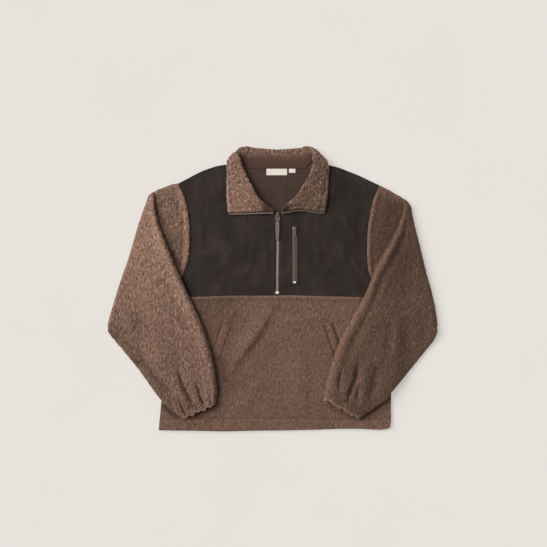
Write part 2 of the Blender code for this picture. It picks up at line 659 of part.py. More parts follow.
# Chest pull: one flat plate with a window round the bail and a small eye.
chest_hinge = hinge_empty("chest_pull_axis", *CHEST_AXIS, 3.0)
PULL_OUT = rounded(6.2, 17.6, 1.6, 0.0, 0.7 - 8.8)
PULL_OUT = [(x * (1.0 - 0.25 * math.exp(-((y + 8.2) / 2.2) ** 2)), y) for x, y in PULL_OUT]
PULL_BODY = []
for q in range(len(PULL_OUT)):
    ax, ay = PULL_OUT[q]
    bx, by = PULL_OUT[(q + 1) % len(PULL_OUT)]
    PULL_BODY.append((ax, ay))
    if abs(ay - by) > 6.0:
        for n in range(1, 6):
            yy = lerp(ay, by, n / 6.0)
            PULL_BODY.append((math.copysign(3.1 * (1.0 - 0.25 * math.exp(-((yy + 8.2) / 2.2) ** 2)), ax), yy))
PULL_WINDOW = rounded(3.4, 5.8, 0.8, 0.0, -0.7 - 2.9, steps=2)
PULL_EYE = rounded(2.4, 4.0, 1.1, 0.0, -12.8, steps=2)
pull_obj = outline("chest_pull", (PULL_BODY, PULL_WINDOW, PULL_EYE), 1.3, M_METAL)
pull_obj.parent = chest_hinge


def stop(name, x, y, z, wide, long_, high):
    bm = bmesh.new()
    bmesh.ops.create_cube(bm, size=1.0)
    for v in bm.verts:
        v.co = Vector((v.co.x * wide, v.co.y * long_, v.co.z * high)) * MM
    mesh = bpy.data.meshes.new(name)
    bm.to_mesh(mesh)
    bm.free()
    obj = put(bpy.data.objects.new(name, mesh), M_METAL)
    obj.location = Vector((x, y, z)) * MM
    bev = obj.modifiers.new("edges", "BEVEL")
    bev.width = 0.5 * MM
    bev.segments = 2


stop("main_zip_stop", -0.6, -6.2, yoke_top(0.0, -6.2) + 0.7 + 0.4 + 0.9, 8.0, 5.4, 1.8)
stop("chest_zip_stop", CHEST_ZIP_X, 18.6, yoke_top(CHEST_ZIP_X, 18.6) + 1.1 + 0.4 + 0.9,
     9.4, 4.4, 1.8)
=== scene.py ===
import math

import bpy
import numpy as np
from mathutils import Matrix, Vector


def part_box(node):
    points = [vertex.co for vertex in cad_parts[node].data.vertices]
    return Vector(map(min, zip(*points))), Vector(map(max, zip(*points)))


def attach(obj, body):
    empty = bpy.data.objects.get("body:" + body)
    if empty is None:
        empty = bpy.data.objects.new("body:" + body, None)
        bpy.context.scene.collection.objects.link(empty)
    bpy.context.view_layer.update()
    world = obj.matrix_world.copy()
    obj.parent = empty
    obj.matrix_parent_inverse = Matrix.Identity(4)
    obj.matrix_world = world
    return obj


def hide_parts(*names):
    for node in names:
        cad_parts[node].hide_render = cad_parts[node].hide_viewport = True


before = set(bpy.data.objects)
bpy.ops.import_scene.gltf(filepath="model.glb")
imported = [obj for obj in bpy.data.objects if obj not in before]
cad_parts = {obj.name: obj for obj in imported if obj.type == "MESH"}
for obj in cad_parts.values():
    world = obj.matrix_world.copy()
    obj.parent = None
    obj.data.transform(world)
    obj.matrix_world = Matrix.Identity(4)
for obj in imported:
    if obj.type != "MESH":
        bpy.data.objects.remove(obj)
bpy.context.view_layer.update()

# Half-zip fleece pullover, laid on its back with both sleeves folded over the front.
# Lengths here are in millimetres and are turned to metres where a mesh is made.
# X to the viewer's right, Y towards the collar, Z up from the surface it lies on.

# ---------------------------------------------------------------- named sizes
PILE_WALL, SHELL_WALL, COLLAR_WALL = 3.0, 1.5, 3.2
SEAM_GAP = 0.3
PANEL_TOP_EDGE, PANEL_SWELL, YOKE_STEP, COLLAR_LIFT = 6.6, 1.8, 0.6, 4.2
HEM_Y, YOKE_SEAM_Y, NECK_BACK_Y = -338.4, -14.4, 291.6
HEM_BAND = 28.0
SLEEVE_STACK, FOLD_CLEAR = 7.6, 1.4
SLEEVE_REST = SLEEVE_STACK + 2.0 * FOLD_CLEAR
SLEEVE_FLOOR, LIE, SINK_RUN = 0.3, 0.12, 45.0
ZIP_SLIT_HALF = 3.8

ARMHOLE = {
    "left": ((-236.4, 256.8), (-222.3, 222.0), (-214.5, 186.0), (-210.5, 150.0),
             (-210.0, 114.0), (-213.0, 78.0), (-223.0, 44.0), (-238.0, 13.0),
             (-256.0, YOKE_SEAM_Y), (-286.8, -46.8)),
    "right": ((242.6, 252.4), (230.8, 219.0), (222.5, 184.0), (217.0, 148.0),
              (215.0, 112.0), (214.8, 76.0), (219.5, 42.0), (233.0, 12.0),
              (252.0, YOKE_SEAM_Y), (286.8, -46.8)),
}
YOKE_ROW = 8
SIDES = ((-46.8, -286.8, 286.8), (-110.0, -283.5, 280.5), (-190.0, -280.0, 275.0),
         (-268.8, -279.2, 272.6), (-320.0, -284.0, 272.4), (HEM_Y, -285.2, 270.5))
BACK_TOP = ((-236.4, 256.8), (-190.0, 280.8), (-146.0, 297.5), (-103.0, 301.0),
            (-70.0, NECK_BACK_Y), (-35.0, NECK_BACK_Y - 0.6), (0.0, NECK_BACK_Y - 1.0),
            (35.0, NECK_BACK_Y - 0.6), (68.0, NECK_BACK_Y), (104.0, 301.0),
            (148.0, 293.6), (196.0, 273.0), (242.6, 252.4))
NECK_FRONT = ((ZIP_SLIT_HALF + 1.0, 178.0), (30.0, 187.0), (55.0, 205.0), (74.0, 236.0),
              (89.0, 266.0), (98.0, 287.0), (103.0, 301.0))
SLEEVE_ROWS = {
    "left": ((-286.8, 163.2, -400.5, -107.0), (-265.2, 105.6, -384.0, -130.0),
             (-241.2, 48.0, -362.2, -155.0), (-214.8, -9.6, -347.0, -174.0),
             (-188.4, -67.2, -331.2, -193.0), (-166.8, -124.8, -310.0, -223.0),
             (-152.4, -182.4, -286.0, -257.0), (-145.2, -240.0, -250.0, -288.0),
             (-149.3, -276.0, -225.1, -309.1)),
    "right": ((288.0, 147.0, 380.0, -107.0), (263.0, 98.0, 361.0, -139.0),
              (236.0, 51.0, 339.0, -166.0), (213.0, -4.0, 324.0, -184.0),
              (183.0, -60.0, 308.0, -204.0), (155.0, -110.0, 290.0, -229.0),
              (133.0, -166.0, 268.0, -257.0), (118.0, -222.0, 232.0, -283.0),
              (112.0, -262.0, 193.2, -309.6)),
}
FOLD_LINE = {"left": (-309.0, 232.0, -407.5, -90.0), "right": (315.0, 206.0, 386.0, -88.0)}
# seam x, y, z / roll x, y, z / edge x, y, z / turn of the fall about the roll / roll radius
COLLAR_ROWS = (
    (-8.6, 180.0, 9.7, -6.4, 191.0, 12.1, -118.8, 184.8, 13.0, 0.0, 2.5),
    (-27.6, 190.4, 9.7, -22.8, 202.6, 12.1, -121.4, 206.0, 13.0, 0.0, 2.5),
    (-51.8, 208.0, 9.7, -42.0, 221.4, 12.1, -122.4, 228.0, 13.0, 0.0, 2.5),
    (-70.4, 238.2, 9.7, -56.4, 249.6, 12.1, -122.4, 250.0, 13.1, 0.0, 2.5),
    (-85.6, 267.6, 9.7, -70.8, 276.0, 12.1, -121.9, 272.0, 13.6, 0.0, 2.5),
    (-94.6, 288.4, 9.7, -82.5, 300.0, 12.4, -121.0, 290.0, 14.6, 0.0, 2.6),
    (-98.0, 301.0, 9.9, -88.0, 320.0, 12.8, -119.0, 300.5, 14.8, 12.0, 2.8),
    (-98.5, 309.5, 9.4, -92.0, 333.0, 12.0, -119.8, 306.0, 12.6, 40.0, 3.4),
    (-95.5, 313.0, 8.0, -88.5, 342.5, 9.8, -120.4, 308.8, 8.2, 80.0, 4.0),
    (-88.5, 310.5, 6.6, -79.5, 346.0, 7.4, -118.6, 307.4, 3.8, 118.0, 4.0),
    (-79.5, 301.5, 5.8, -69.0, 345.5, 5.4, -111.5, 302.6, 1.9, 155.0, 3.3),
    (-68.0, 292.6, 5.7, -57.0, 342.6, 4.3, -92.0, 277.0, 1.7, 178.0, 2.6),
    (-34.0, 291.8, 5.7, -30.0, 340.4, 4.3, -46.0, 265.0, 1.7, 180.0, 2.5),
    (0.0, 291.4, 5.7, 0.0, 338.4, 4.3, 0.0, 262.0, 1.7, 180.0, 2.5),
)
COLLAR_RIGHT = ((2.0, 0.0, -4.0, 2.4), (2.5, 5.0, -3.5, 0.0), (1.5, 8.0, -1.5, -1.0),
                (2.0, 5.0, 0.0, 0.0), (2.0, 1.0, 1.5, 0.0), (1.0, 0.0, 3.5, 0.0),
                (0.0, 0.0, 5.0, 0.0), (0.0, 0.0, 5.0, 0.0), (0.0, 0.0, 5.0, 0.0),
                (0.0, 0.0, 4.5, 0.0), (0.0, 0.0, 3.0, 0.0), (0.0, 0.0, 0.0, 0.0),
                (0.0, 0.0, 0.0, 0.0), (0.0, 0.0, 0.0, 0.0))
WELTS = {"left": (-120.5, -81.0, -150.0, -162.0, 20.0),
         "right": (120.5, -81.0, 150.0, -162.0, 17.0)}
WELT_DEPTH = {"left": 0.95, "right": 2.4}
# The hem's edge rises and falls a little: x, rise above HEM_Y
HEM_WAVE = ((-286.0, 1.5), (-200.0, 0.4), (-125.0, -1.0), (-40.0, 0.8), (20.0, 1.4),
            (100.0, 3.2), (150.0, 5.2), (200.0, 5.0), (245.0, 2.6), (262.0, 4.5), (271.0, 9.0))


# ---------------------------------------------------------------- creases
# Each is a line of x, y points, width on its left and right, and height (below 0 is a trough).
def px(*points):
    """Plan points on the garment from places 2.4 mm apart, counted right and down."""
    return tuple(((x - 277.5) * 2.4, (290.0 - y) * 2.4) for x, y in points)


FRONT_CREASES = (
    (px((276, 300), (266, 321), (247, 346), (230, 375)), 30.0, 12.0, 2.6),
    (px((281, 306), (271, 318), (262, 334), (255, 346), (246, 354), (239.5, 365), (235, 384)),
     8.0, 15.0, -2.0),
    (px((279, 311), (292, 312.5), (309, 312)), 7.0, 7.0, -1.0),
    (px((279, 320), (292, 321), (311, 320.5)), 8.0, 9.0, 1.0),
    (px((279.5, 298), (280.5, 306), (279, 316)), 2.5, 7.0, -0.7),
    (px((214, 318), (220, 306), (222, 299)), 9.0, 9.0, -0.9),
    (px((236, 306), (230, 318), (226, 330)), 12.0, 8.0, 1.3),
    (px((300, 345), (296, 372), (300, 400)), 22.0, 16.0, 0.9),
    (px((262, 372), (252, 394), (236, 410)), 18.0, 12.0, 1.1),
    (px((309, 360), (313, 384), (311, 408)), 10.0, 14.0, -0.8),
    (px((243, 300), (262, 304), (286, 303)), 8.0, 10.0, 0.6),
    (px((222, 352), (228, 376), (240, 396)), 10.0, 12.0, -0.9),
    (px((320, 300), (323, 309)), 3.0, 4.0, -0.7),
)
YOKE_CREASES = {
    "left": (
        (px((190, 200), (200, 224), (203, 258)), 8.0, 12.0, 1.1),
        (px((212, 186), (222, 214), (226, 240)), 10.0, 14.0, 0.9),
        (px((198, 285), (220, 268), (236, 244)), 10.0, 12.0, 0.8),
        (px((240, 288), (252, 262), (256, 232)), 9.0, 9.0, 0.7),
        (px((192, 268), (206, 278), (228, 284)), 7.0, 10.0, 0.8),
        (px((262, 224), (266, 252), (265, 284)), 5.0, 8.0, 0.6),
    ),
    "right": (
        (px((343, 214), (349, 228), (358, 238)), 5.0, 7.0, 1.4),
        (px((352, 256), (358, 268), (368, 277)), 5.0, 7.0, 1.3),
        (px((340, 244), (346, 262), (357, 276)), 6.0, 8.0, 1.0),
        (px((330, 186), (345, 196), (362, 196)), 8.0, 10.0, 1.0),
        (px((306, 290), (324, 276), (336, 254)), 9.0, 10.0, 0.8),
        (px((361, 204), (358, 226), (361, 250)), 6.0, 9.0, -0.9),
        (px((312, 232), (318, 250), (316, 270)), 6.0, 9.0, 0.7),
    ),
}
SLEEVE_CREASES = {
    "left": (
        (px((177.5, 366), (180.6, 377), (184.8, 388), (189, 396), (192.8, 405), (194.4, 412)),
         5.4, 7.5, -6.6),
        (px((138, 354), (148, 367.5), (159, 380), (169, 391), (177, 399)), 8.0, 9.0, -3.4),
        (px((164, 371), (171, 380), (177.5, 389), (184.5, 399)), 7.0, 7.0, 2.2),
        (px((196.4, 380), (199.4, 392), (202.4, 400), (205.4, 410)), 4.6, 6.0, -5.4),
        (px((180, 400), (183.4, 408), (187, 417)), 3.4, 3.8, -3.8),
        (px((189, 402), (190.6, 408), (192, 414)), 2.4, 2.4, -2.0),
        (px((194.8, 401), (197, 406.5), (199, 413)), 2.6, 3.0, -2.6),
        (px((210.4, 390), (211.2, 399), (210.4, 408)), 4.0, 4.0, -2.6),
        (px((176, 350), (176.6, 358), (178.5, 368)), 11.0, 9.0, -1.6),
        (px((174.5, 399), (178.6, 408), (183, 417)), 6.5, 5.0, 2.4),
        (px((189, 380), (194, 394), (198.6, 405)), 6.0, 5.0, 2.0),
        (px((203.6, 368), (206.2, 386), (207.8, 402)), 8.0, 6.0, 2.0),
        (px((150, 214), (142, 246), (134, 282)), 24.0, 14.0, 1.2),
        (px((122, 300), (140, 324), (168, 350)), 16.0, 18.0, -1.8),
        (px((160, 268), (172, 300), (186, 334)), 16.0, 22.0, -1.4),
        (px((136, 332), (152, 354), (168, 372)), 16.0, 20.0, 1.4),
        (px((116, 296), (120, 322), (134, 346)), 9.0, 12.0, -1.2),
        (px((187, 330), (191, 348), (192, 364)), 9.0, 8.0, 1.2),
    ),
    "right": (
        (px((357.8, 362), (355.6, 378), (350.8, 390.5), (348.4, 400)), 6.5, 7.5, -7.4),
        (px((349.6, 384), (349, 392), (348, 401)), 3.4, 3.6, -1.8),
        (px((341, 368), (339.6, 380), (338.6, 394)), 5.0, 6.0, -3.8),
        (px((345.4, 366), (344.6, 382), (343.6, 399)), 5.0, 5.0, 2.2),
        (px((359, 386), (357.4, 393.6), (356, 401)), 3.4, 3.8, -3.6),
        (px((354.4, 380), (353.6, 392), (352.4, 404)), 3.0, 3.4, 1.4),
        (px((364, 366), (363, 386), (361, 410)), 6.0, 7.0, 2.4),
        (px((378, 358), (376.2, 373), (373.2, 386), (370, 400)), 10.0, 11.0, -5.2),
        (px((379, 348), (377.4, 366), (374, 382)), 7.0, 9.0, 1.8),
        (px((331.6, 384), (331, 392), (330.2, 402)), 3.4, 3.4, -2.0),
        (px((389, 316), (389, 336), (384, 356)), 9.0, 12.0, -2.0),
        (px((396, 320), (397.4, 338), (393, 358)), 8.0, 11.0, 1.4),
        (px((402, 224), (398, 256), (391, 292)), 14.0, 20.0, -1.4),
        (px((414, 250), (418, 280), (420, 312)), 14.0, 16.0, 1.1),
        (px((374, 300), (366, 328), (361, 352)), 13.0, 14.0, 1.6),
        (px((410, 330), (402, 346), (390, 366)), 13.0, 16.0, -1.4),
    ),
}
# Gathers under the cuffs, where they don't show: place across, half width, depth
UNDER_GATHERS = ((0.12, 0.035, 1.1), (0.27, 0.045, 1.3), (0.41, 0.03, 0.9), (0.55, 0.05, 1.3),
                 (0.70, 0.035, 1.1), (0.86, 0.04, 1.2))


# ---------------------------------------------------------------- small maths
def smooth(t):
    t = np.clip(t, 0.0, 1.0)
    return t * t * (3.0 - 2.0 * t)


def dome(t):
    """Quarter circle from 0 at t = 0 to 1 at t = 1 and beyond."""
    t = np.clip(t, 0.0, 1.0)
    return np.sqrt(np.maximum(0.0, 1.0 - (1.0 - t) ** 2))


def lerp(a, b, t):
    return a + (b - a) * t


def cubic(rows, t, ring=False):
    """Catmull-Rom reading of rows (first axis) at the row numbers t."""
    rows, t = np.asarray(rows, float), np.asarray(t, float)
    n = len(rows)
    i = np.floor(t).astype(int)
    if ring:
        p = [rows[(i + k) % n] for k in (-1, 0, 1, 2)]
    else:
        i = np.clip(i, 0, n - 2)
        wide = np.concatenate([[2 * rows[0] - rows[1]], rows, [2 * rows[-1] - rows[-2]]])
        p = [wide[i + k] for k in range(4)]
    f = (t - i).reshape((-1,) + (1,) * (rows.ndim - 1))
    return 0.5 * (2 * p[1] + (p[2] - p[0]) * f + (2 * p[0] - 5 * p[1] + 4 * p[2] - p[3]) * f ** 2
                  + (3 * p[1] - p[0] - 3 * p[2] + p[3]) * f ** 3)


RIM = (0.5, 1.2, 2.2, 3.6)


def even(want):
    """An even number of cells, so that every second point can carry the inner face."""
    return want if len(want) % 2 else np.delete(want, len(want) // 2)


def marks(length, step, rim=RIM):
    """Places along a length, step apart, closer together at both ends."""
    want = np.linspace(0.0, length, max(4, int(round(length / step))) + 1)
    if rim:
        inner = want[(want > rim[-1] * 1.3) & (want < length - rim[-1] * 1.3)]
        want = np.concatenate([[0.0], rim, inner, length - np.array(rim)[::-1], [length]])
    return even(want)


def places(rows, step, ring=False, rim=()):
    """Row numbers about step apart along the first axis of a grid of points."""
    n = len(rows) - (0 if ring else 1)
    t = np.linspace(0.0, n, n * 24 + 1)
    q = cubic(rows, t, ring)
    run = np.concatenate([[0.0], np.cumsum(np.linalg.norm(np.diff(q, axis=0), axis=-1).mean(1))])
    if ring:
        cells = 2 * int(round(run[-1] / step / 2.0))
        return np.interp(np.linspace(0.0, run[-1], cells + 1), run, t)[:-1]
    return np.interp(marks(run[-1], step, rim), run, t)


def grid_of(point, columns, rows, ring=False):
    count = columns if ring else columns + 1
    return np.array([[point(i, j) for i in range(count)] for j in range(rows + 1)], float)


def refine(control, v, u, ring=False):
    """The control grid read at rows v and columns u."""
    step = cubic(control, v)
    return np.swapaxes(cubic(np.swapaxes(step, 0, 1), u, ring), 0, 1)


# ---------------------------------------------------------------- noise
def chance(i, j, k, salt):
    h = (i * 73856093) ^ (j * 19349663) ^ (k * 83492791) ^ (salt * 40503 + 977)
    h &= 0xFFFFFFFF
    h = ((h ^ (h >> 13)) * 1274126177) & 0xFFFFFFFF
    h ^= h >> 16
    return (h & 0xFFFFFF) / float(0x1000000)


def billow(p, size, salt):
    """Soft noise from -1 to 1."""
    q = p / size + 1000.0
    b = np.floor(q).astype(np.int64)
    f = smooth(q - b)
    out = 0.0
    for a in (0, 1):
        for c in (0, 1):
            for d in (0, 1):
                w = (np.abs(1 - a - f[..., 0]) * np.abs(1 - c - f[..., 1])
                     * np.abs(1 - d - f[..., 2]))
                out = out + w * chance(b[..., 0] + a, b[..., 1] + c, b[..., 2] + d, salt)
    return out * 2.0 - 1.0


def tufts(p, size, salt):
    """Rounded clumps of pile: about 1 on a clump's crown, below 0 between clumps."""
    q = p / size + 1000.0
    b = np.floor(q).astype(np.int64)
    best = np.full(q.shape[:-1], 9.0)
    for a in (-1, 0, 1):
        for c in (-1, 0, 1):
            for d in (-1, 0, 1):
                i, j, k = b[..., 0] + a, b[..., 1] + c, b[..., 2] + d
                d2 = ((q[..., 0] - i - chance(i, j, k, salt)) ** 2
                      + (q[..., 1] - j - chance(i, j, k, salt + 1)) ** 2
                      + (q[..., 2] - k - chance(i, j, k, salt + 2)) ** 2)
                best = np.minimum(best, d2)
    return 1.0 - 1.9 * best


def pile(p, salt, grow=1.0):
    """Height of curly pile, its clumps drawn out down the garment, from about -1 to 1."""
    q = p / grow
    warp = q + 2.4 * np.stack([billow(q, 7.0, salt + 11), billow(q, 7.0, salt + 12),
                               billow(q, 7.0, salt + 13)], axis=-1)
    return (0.70 * tufts(warp * np.array([1.0, 0.60, 1.0]), 5.4, salt)
            + 0.26 * billow(q, 2.8, salt + 5) + 0.20 * billow(q, 15.0, salt + 6) - 0.16)


# ---------------------------------------------------------------- heights
BODY_Y = np.array([r[0] for r in SIDES][::-1])
BODY_L = np.array([r[1] for r in SIDES][::-1])
BODY_R = np.array([r[2] for r in SIDES][::-1])


def edge_x(y):
    out = []
    for side, body in (("left", BODY_L), ("right", BODY_R)):
        ys = np.concatenate([BODY_Y, [p[1] for p in ARMHOLE[side]][8::-1]])
        xs = np.concatenate([body, [p[0] for p in ARMHOLE[side]][8::-1]])
        out.append(np.interp(y, ys, xs))
    return out


def neck_lift(x, y):
    return COLLAR_LIFT * smooth((y - 212.0) / 42.0) * smooth((172.0 - np.abs(x)) / 44.0)


def panel_top(x, y):
    left, right = edge_x(y)
    across = smooth((x - left) / 62.0) * smooth((right - x) / 62.0)
    swell = across * smooth((y - HEM_Y) / 60.0) * smooth((300.0 - y) / 60.0)
    return PANEL_TOP_EDGE + PANEL_SWELL * swell + neck_lift(x, y)


def yoke_top(x, y):
    return panel_top(x, y) - YOKE_STEP


def crease(x, y, line, left, right, height):
    """A soft ridge or trough along a line, wider on one side than on the other."""
    pts = np.array(line, float)
    seg = np.diff(pts, axis=0)
    size = np.linalg.norm(seg, axis=1)
    run = np.concatenate([[0.0], np.cumsum(size)])
    best = np.full(x.shape, 1e9)
    share = np.zeros(x.shape)
    side = np.zeros(x.shape)
    for n in range(len(seg)):
        ex, ey = seg[n] / size[n]
        rx, ry = x - pts[n, 0], y - pts[n, 1]
        along = np.clip(rx * ex + ry * ey, 0.0, size[n])
        d = np.hypot(rx - along * ex, ry - along * ey)
        near = d < best
        best = np.where(near, d, best)
        share = np.where(near, (run[n] + along) / run[-1], share)
        side = np.where(near, np.sign(rx * ey - ry * ex), side)
    width = np.where(side * (1.0 if pts[0, 1] < pts[-1, 1] else -1.0) > 0, right, left)
    fade = smooth(share / 0.3) * smooth((1.0 - share) / 0.3) * 0.85 + 0.15
    return height * np.exp(-(best / width) ** 2) * fade


def creases(x, y, table):
    out = np.zeros(np.shape(x))
    for line, left, right, height in table:
        out = out + crease(x, y, line, left, right, height)
    return out


def inner_edge(side, y):
    """x of the folded-over sleeve's inner edge at height y, and on round its cuff."""
    rows = SLEEVE_ROWS[side]
    start = FOLD_LINE[side]
    ys = [start[1]] + [r[1] for r in rows] + [rows[-1][3]]
    xs = [start[0]] + [r[0] for r in rows] + [rows[-1][2]]
    return np.interp(y, ys[::-1], xs[::-1])


def covered(side, x, y, soft=8.0):
    """1 where the folded-over sleeve lies on what is under it, 0 where that shows."""
    sx = -1.0 if side == "left" else 1.0
    rows = SLEEVE_ROWS[side]
    ox = np.array([sx * r[2] for r in rows][::-1])
    oy = np.array([r[3] for r in rows][::-1])
    low = np.interp(sx * x, ox, oy)
    beyond = sx * (x - inner_edge(side, y))
    top = FOLD_LINE[side][1]
    return (smooth((beyond + soft) / soft) * smooth((y - low + soft) / soft)
            * smooth((top + soft - y) / soft))


def shade_cover(x, y):
    return np.maximum(covered("left", x, y), covered("right", x, y))


# ---------------------------------------------------------------- meshes
def mesh_of(name, verts, quads, tris, mats, index=None, fields=None):
    verts = np.asarray(verts, np.float32) * 0.001
    quads = np.asarray(quads, np.int32).reshape(-1, 4)
    tris = np.asarray(tris, np.int32).reshape(-1, 3)
    mesh = bpy.data.meshes.new(name)
    mesh.vertices.add(len(verts))
    mesh.vertices.foreach_set("co", verts.ravel())
    mesh.loops.add(quads.size + tris.size)
    mesh.loops.foreach_set("vertex_index", np.concatenate([quads.ravel(), tris.ravel()]))
    mesh.polygons.add(len(quads) + len(tris))
    starts = np.concatenate([np.arange(len(quads)) * 4,
                             quads.size + np.arange(len(tris)) * 3]).astype(np.int32)
    mesh.polygons.foreach_set("loop_start", starts)
    for m in mats:
        mesh.materials.append(m)
    if index is not None:
        mesh.polygons.foreach_set("material_index", np.asarray(index, np.int32))
    for key, data in (fields or {}).items():
        vector = np.ndim(data) == 2
        layer = mesh.attributes.new(key, "FLOAT_VECTOR" if vector else "FLOAT", "POINT")
        layer.data.foreach_set("vector" if vector else "value",
                               np.asarray(data, np.float32).ravel())
    mesh.update(calc_edges=True)
    mesh.validate()
    mesh.shade_smooth()
    obj = bpy.data.objects.new(name, mesh)
    bpy.context.scene.collection.objects.link(obj)
    return obj


def normals_of(p, ring):
    if ring:
        du = np.roll(p, -1, axis=1) - np.roll(p, 1, axis=1)
    else:
        du = np.gradient(p, axis=1)
    dv = np.gradient(p, axis=0)
    n = np.cross(du, dv)
    return n / np.maximum(np.linalg.norm(n, axis=-1, keepdims=True), 1e-9)


def rim_distance(p, ring):
    """Distance of every grid point from the nearest open edge, along the cloth."""
    dv = np.linalg.norm(np.diff(p, axis=0), axis=-1)
    run = np.concatenate([np.zeros((1, p.shape[1])), np.cumsum(dv, axis=0)])
    out = np.minimum(run, run[-1:] - run)
    if not ring:
        du = np.linalg.norm(np.diff(p, axis=1), axis=-1)
        run = np.concatenate([np.zeros((p.shape[0], 1)), np.cumsum(du, axis=1)], axis=1)
        out = np.minimum(out, np.minimum(run, run[:, -1:] - run))
    return out


def shell(name, mid, wall, mats, side=1.0, ring=False, nap=None, rounding=3.4, skin=None,
          floor=None, pick=None, tone=None, plain=None, lean=None):
    """Closed shell on a grid of middle points: a fine outer face and a plain inner one.
    tone lightens or darkens the pile, mostly with painted shade and painted highlights, plain turns it into smooth
    knit, and lean is the way that the pile is brushed."""
    n = normals_of(mid, ring) * side
    near = rim_distance(mid, ring)
    edge = np.maximum(0.16, dome((near + 0.25) / rounding))
    out = wall / 2.0 * edge
    if nap is not None:
        out = out + nap * (0.35 + 0.65 * edge)
    if skin is not None:
        out = out + skin
    outer = mid + n * out[..., None]
    inner = (mid - n * (wall / 2.0 * edge)[..., None])[::2, :: 2]
    if floor is not None:
        outer[..., 2] = np.maximum(outer[..., 2], floor)
        inner[..., 2] = np.maximum(inner[..., 2], floor + 0.5)
    r, c = outer.shape[:2]
    r2, c2 = inner.shape[:2]
    a = np.arange(r * c).reshape(r, c)
    b = r * c + np.arange(r2 * c2).reshape(r2, c2)

    def cells(g):
        if ring:
            g = np.concatenate([g, g[:, :1]], axis=1)
        return np.stack([g[:-1, :-1], g[:-1, 1:], g[1:, 1:], g[1:, :-1]], axis=-1).reshape(-1, 4)

    outer_q, inner_q = cells(a), cells(b)[:, ::-1]
    rims = []
    ga = np.concatenate([a, a[:, :1]], axis=1) if ring else a
    gb = np.concatenate([b, b[:, :1]], axis=1) if ring else b
    lines = [(ga[0][::-1], gb[0][::-1]), (ga[-1], gb[-1])]
    if not ring:
        lines += [(ga[:, 0], gb[:, 0]), (ga[:, -1][::-1], gb[:, -1][::-1])]
    for o, i in lines:
        o0, o1, o2 = o[:-2:2], o[1:-1:2], o[2::2]
        i0, i1 = i[:-1], i[1:]
        rims += [np.stack([o1, o0, i0], -1), np.stack([i0, i1, o1], -1), np.stack([o1, i1, o2], -1)]
    tris = np.concatenate(rims)
    if side < 0:
        outer_q, inner_q, tris = outer_q[:, ::-1], inner_q[:, ::-1], tris[:, ::-1]
    index = None
    if pick is not None:
        index = pick(outer, inner, len(outer_q), len(inner_q), len(tris))
    fields = {}
    for key, data, rest in (("tone", tone, 1.0), ("plain", plain, 0.0)):
        face = np.full((r, c), rest) if data is None else np.broadcast_to(data, (r, c))
        fields[key] = np.concatenate([face.reshape(-1), np.full(r2 * c2, rest)])
    face = np.zeros((r, c, 3)) if lean is None else np.broadcast_to(lean, (r, c, 3))
    fields["lean"] = np.concatenate([face.reshape(-1, 3), np.zeros((r2 * c2, 3))])
    return mesh_of(name, np.concatenate([outer.reshape(-1, 3), inner.reshape(-1, 3)]),
                   np.concatenate([outer_q, inner_q]), tris, mats, index, fields)


def beads(name, centres, along, up, size, mats, sides=6):
    """Small rounded rods, one at each centre: half length, half width, half height."""
    centres, along, up = (np.asarray(v, float) for v in (centres, along, up))
    along = along / np.linalg.norm(along, axis=-1, keepdims=True)
    across = np.cross(up, along)
    across = across / np.linalg.norm(across, axis=-1, keepdims=True)
    up = np.cross(along, across)
    form = [(-1.0, 0.0, 0.0)]
    for t, r in ((-0.82, 0.62), (-0.4, 0.96), (0.4, 0.96), (0.82, 0.62)):
        for k in range(sides):
            ang = 2.0 * math.pi * k / sides
            form.append((t, r * math.cos(ang), r * math.sin(ang)))
    form.append((1.0, 0.0, 0.0))
    form = np.array(form)
    quads, tris = [], []
    for ringno in range(3):
        for k in range(sides):
            p, q = 1 + ringno * sides + k, 1 + ringno * sides + (k + 1) % sides
            quads.append((p, q, q + sides, p + sides))
    last = 1 + 4 * sides
    for k in range(sides):
        tris.append((0, 1 + (k + 1) % sides, 1 + k))
        tris.append((last, last - sides + k, last - sides + (k + 1) % sides))
    m, n = len(centres), len(form)
    verts = (centres[:, None] + along[:, None] * (form[:, 0] * size[0])[None, :, None]
             + across[:, None] * (form[:, 1] * size[1])[None, :, None]
             + up[:, None] * (form[:, 2] * size[2])[None, :, None])
    base = (np.arange(m) * n)[:, None, None]
    return mesh_of(name, verts.reshape(-1, 3), (np.array(quads)[None] + base).reshape(-1, 4),
                   (np.array(tris)[None] + base).reshape(-1, 3), mats)


def along_line(points, pitch, phase=0.5):
    """Places and directions pitch apart along a line of points."""
    p = np.asarray(points, float)
    run = np.concatenate([[0.0], np.cumsum(np.linalg.norm(np.diff(p, axis=0), axis=1))])
    want = np.arange(pitch * phase, run[-1], pitch)
    at = np.stack([np.interp(want, run, p[:, k]) for k in range(3)], -1)
    ahead = np.stack([np.interp(want + 0.2, run, p[:, k]) for k in range(3)], -1)
    back = np.stack([np.interp(want - 0.2, run, p[:, k]) for k in range(3)], -1)
    return at, ahead - back


# ---------------------------------------------------------------- materials
def lin(c):
    c /= 255.0
    return c / 12.92 if c <= 0.04045 else ((c + 0.055) / 1.055) ** 2.4


def rgb(r, g, b):
    return lin(r), lin(g), lin(b), 1.0


